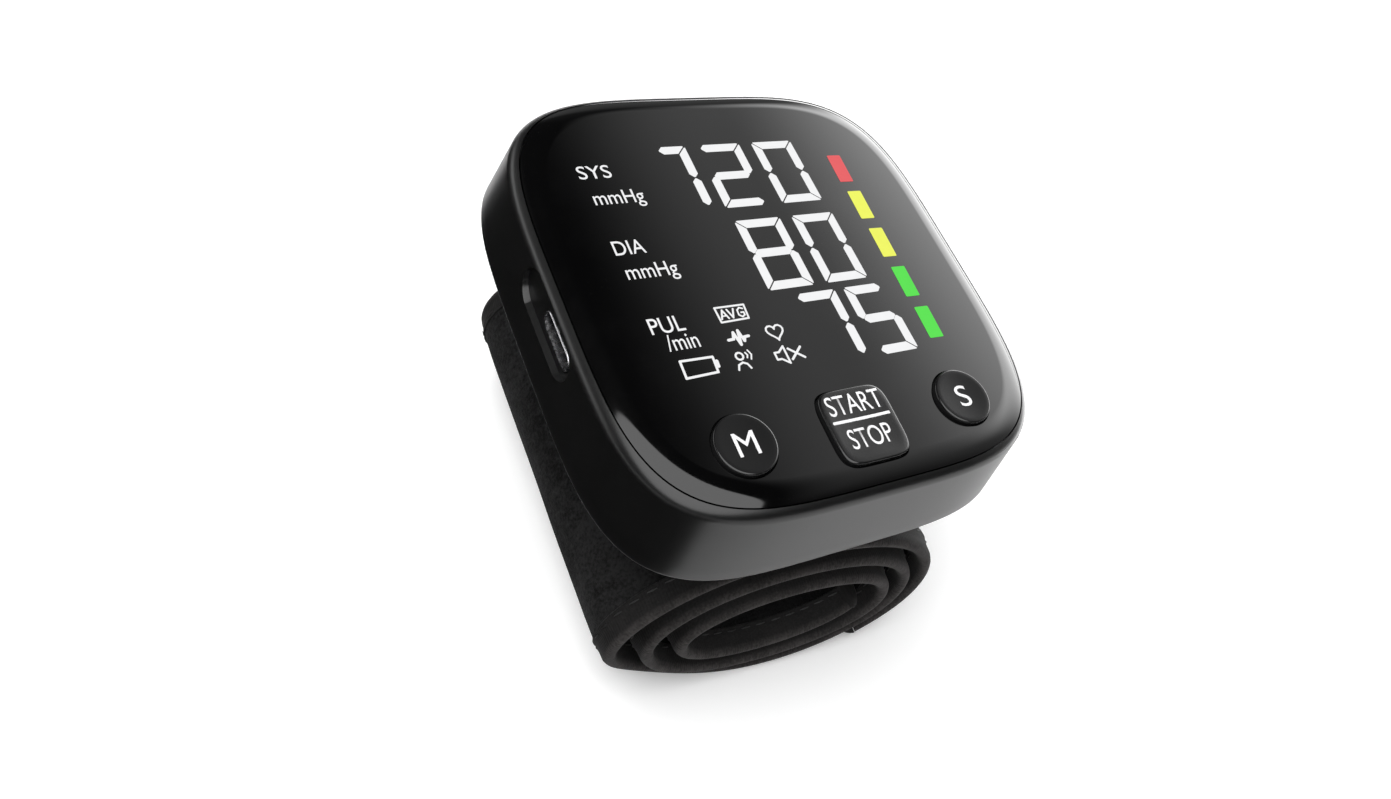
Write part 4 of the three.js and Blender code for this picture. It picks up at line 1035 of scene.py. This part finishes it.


# Bindings: woven tape folded over both long edges of the strip and sewn down with a row of
# stitches on each side, so each edge stands up as a rounded bead, painted paler along its crest as a painted
# highlight.
tape_weave, tree, shader = new_material(
    "tape_weave",
    Roughness=0.8,
    Specular_IOR_Level=0.2,
    Sheen_Weight=0.03,
    Sheen_Roughness=0.45,
    Sheen_Tint=(0.9, 0.88, 0.88),
)
tape_place = cloth_position(tree)
weave = {"Vector": tape_place, "Scale": 700, "Distortion": 1.2, "Detail": 2}
ribs = add_node(tree, "TexWave", weave, wave_type="BANDS", bands_direction="X").outputs["Fac"]
surface = place_group(tree, pile, Position=tape_place, Fleck=1.3)
# The bead's crest is painted paler than the rest of the tape: a painted highlight where light catches its
# top.
highlight_on_crest = remap(tree, cloth_attribute(tree, "across"), 0.0001, 0.0012, 1, 0)
painted_crest_highlight = mix_colours(tree, surface["Shade"], (0.020, 0.0182, 0.0177), (0.050, 0.0455, 0.0445))
plain_tape = mix_colours(tree, surface["Shade"], (0.002, 0.0019, 0.0019), (0.009, 0.0084, 0.0083))
tint(tree, shader, highlight_on_crest, plain_tape, painted_crest_highlight)
add_bump(tree, shader, add_math(tree, "MULTIPLY_ADD", ribs, 0.5, surface["Height"]), 0.5, 0.00008)

# The tape's section, from one stitched side over the bead to the other: depth inwards and offset.
bead_depth, bead_half = 1.45, 1.1
bead_angles = [math.pi * (i / 14 - 0.5) for i in range(15)]
bead_rows = [(bead_depth * (1 - math.cos(a)), bead_half * math.sin(a)) for a in bead_angles]
one_side = [(1.9, 1.12), (2.5, 1.18), (3.0, 1.34), (3.3, 1.30)]
one_side += [(3.6, 1.47), (3.9, 1.52), (4.05, 1.38), (4.05, 0.9)]
bead_profile = [(depth, -offset) for depth, offset in reversed(one_side)] + bead_rows + one_side
stitch_pitch, stitch_inset, stitch_lift = 2.8, 3.3, 1.44
stitch_half = (0.95, 0.13, 0.08)


def binding_profile(edge, inwards):
    """The folded tape along one edge, which the stitches pucker."""

    def at(turn, length):
        pucker = 1 + 0.02 * math.sin(length * 2 * math.pi / stitch_pitch)
        line = edge(turn)
        return [(line + inwards * depth, offset * pucker, depth) for depth, offset in bead_profile]

    return at


for name, edge, inwards in (("near_binding", near_edge, 1), ("far_binding", far_edge, -1)):
    bm = bmesh.new()
    wind_strip(bm, whole, binding_profile(edge, inwards))
    made = make_object(name, bm, tape_weave, sharp=50)
    belongs(made, "monitor", "binding", "cuff_" + name)

stitch_thread = mottled(
    "stitch_thread", 4000, 2, (0.004, 0.004, 0.0041), (0.008, 0.008, 0.0083), Roughness=0.6
)
bm = bmesh.new()
bmesh.ops.create_uvsphere(bm, u_segments=6, v_segments=4, radius=1)
one_stitch = bpy.data.meshes.new("one_stitch")
bm.to_mesh(one_stitch)
bm.free()


def sew_row(bm, edge, inwards, side):
    fine = turns_between(0.01, cuff_turns - 0.01, 400)
    wanted = stitch_pitch / 2
    for turn, gone in zip(fine, lengths_along(fine)):
        if gone < wanted:
            continue
        wanted += stitch_pitch
        point = roll_point(turn, side * stitch_lift)
        if point.y < roll_floor + 0.25:
            continue
        ahead = roll_point(turn + 0.002, side * stitch_lift) - roll_point(turn - 0.002, side * stitch_lift)
        stitch = one_stitch.copy()
        stitch.transform(Matrix.Diagonal((*stitch_half, 1)))
        stitch.transform(Matrix.Rotation(-math.atan2(ahead.y, ahead.x), 4, "Y"))
        stitch.transform(Matrix.Translation((point.x, edge(turn) + inwards * stitch_inset, point.y)))
        bm.from_mesh(stitch)
        bpy.data.meshes.remove(stitch)


bm = bmesh.new()
for edge, inwards in ((near_edge, 1), (far_edge, -1)):
    for side in (1, -1):
        sew_row(bm, edge, inwards, side)
bpy.data.meshes.remove(one_stitch)
stitches = belongs(make_object("binding_stitches", bm, stitch_thread), "monitor", "binding")


# Hems: the same woven tape folded over the two ends of the strip, which closes them between the
# bindings and thins towards its own rounded edge.
hem_length, hem_half = 3.2, 1.45


def hem_profile(start, reach, beyond):
    """The tape's section over an end of the strip: it thins and rounds off over its reach."""

    def at(turn, length):
        share = min(1, abs(turn - start) / reach)
        half = hem_half * math.sqrt(max(0.02, 1 - share**1.8))
        sink = -0.9 * share if beyond > 0 else 0.5 * share
        rounding = hem_length * (1 - math.sqrt(1 - share**2))
        near, far = near_edge(turn) + rounding, far_edge(turn) - rounding
        rows = [
            (near, half * 0.5, 1.0),
            (near + 1.0, half, 1.5),
            (far - 1.0, half, 1.5),
            (far, half * 0.5, 1.0),
        ]
        upper = [(y, sink + offset, across) for y, offset, across in rows]
        return upper + [(y, sink - offset, across) for y, offset, across in reversed(rows)]

    return at


for name, start, beyond in (("root_hem", 0.0, -1), ("tip_hem", cuff_turns, 1)):
    reach = hem_length / (2 * math.pi * (spiral_width + wider_each_turn * start))
    low, high = sorted((start + beyond * 0.0005, start + beyond * reach))
    bm = bmesh.new()
    wind_strip(bm, [low + (high - low) * i / 8 for i in range(9)], hem_profile(start, reach, beyond))
    made = make_object(name, bm, tape_weave, sharp=50)
    belongs(made, "monitor", "binding", "cuff_" + name)


# Hook patch: a strip of tiny plastic hooks, sewn under the loose end of the strip, which grips the
# loops of the turn below and so holds the cuff closed.
hook_tape, tree, shader = new_material("hook_tape", Roughness=0.6)
hooks = add_node(tree, "TexVoronoi", {"Vector": cloth_position(tree), "Scale": 900}).outputs["Distance"]
tint(tree, shader, hooks, (0.03, 0.03, 0.03), (0.006, 0.006, 0.006))
add_bump(tree, shader, hooks, 0.8, 0.0003)
patch_inset, patch_face, patch_hooks = 9.3, -1.5, -1.9


def patch_profile(turn, length):
    near, far = near_edge(turn) + patch_inset, far_edge(turn) - patch_inset
    return [(near, patch_face), (far, patch_face), (far, patch_hooks), (near, patch_hooks)]


bm = bmesh.new()
wind_strip(bm, turns_between(83 / 30, 3.0), patch_profile)
belongs(make_object("hook_patch", bm, hook_tape), "monitor", "hook_patch", "cuff_hook_patch")


# Saddle plate and rear cover: plain mouldings of dark plastic that close the housing and carry the
# cuff. The cover is held by four zinc-plated screws.
dark_moulding = satin_plastic(
    "dark_moulding", (0.022, 0.022, 0.024), (0.028, 0.028, 0.030), 0.38, 0.46, 0.00003, coarseness=0.7
)
dress(dark_moulding, "cuff_saddle_plate", "rear_cover")
zinc_plate = mottled(
    "zinc_plate", 1600, 4, (0.42, 0.42, 0.44), (0.60, 0.60, 0.63), rough=(0.25, 0.45), Metallic=1.0
)
dress(zinc_plate, *["rear_cover_screw_%d" % i for i in range(1, 5)])


# Inside the housing: the circuit board and display, the battery, and the air line of motor, pump,
# manifold, valve and sensor, none of which shows while the housing is closed.
solder_mask = mottled("solder_mask", 400, 4, (0.008, 0.08, 0.03), (0.014, 0.13, 0.05), Roughness=0.35)
frosted = mottled("frosted_sheet", 2500, 3, (0.62, 0.66, 0.70), (0.74, 0.78, 0.82), Roughness=0.4)
silicone = mottled("pale_silicone", 300, 3, (0.54, 0.50, 0.43), (0.64, 0.60, 0.52), Roughness=0.55)
shrink_film = mottled("shrink_film", 220, 4, (0.05, 0.14, 0.26), (0.07, 0.18, 0.34), Roughness=0.3)
pale_plastic = satin_plastic("pale_plastic", (0.60, 0.58, 0.53), (0.66, 0.64, 0.58), 0.45, 0.55, 0.00002)
dress(solder_mask, "main_circuit_board")
dress(frosted, "display_diffuser", "cuff_curler")
dress(silicone, "air_manifold", "air_nozzle", "air_bladder")
dress(shrink_film, "battery_pack")
dress(pale_plastic, "display_module", "battery_connector", "pump_head", "valve_body")
dress(pale_plastic, "memory_switch_plunger", "start_stop_switch_plunger", "set_switch_plunger")
dress(zinc_plate, "pump_motor", "pump_rotor", "valve_plunger")
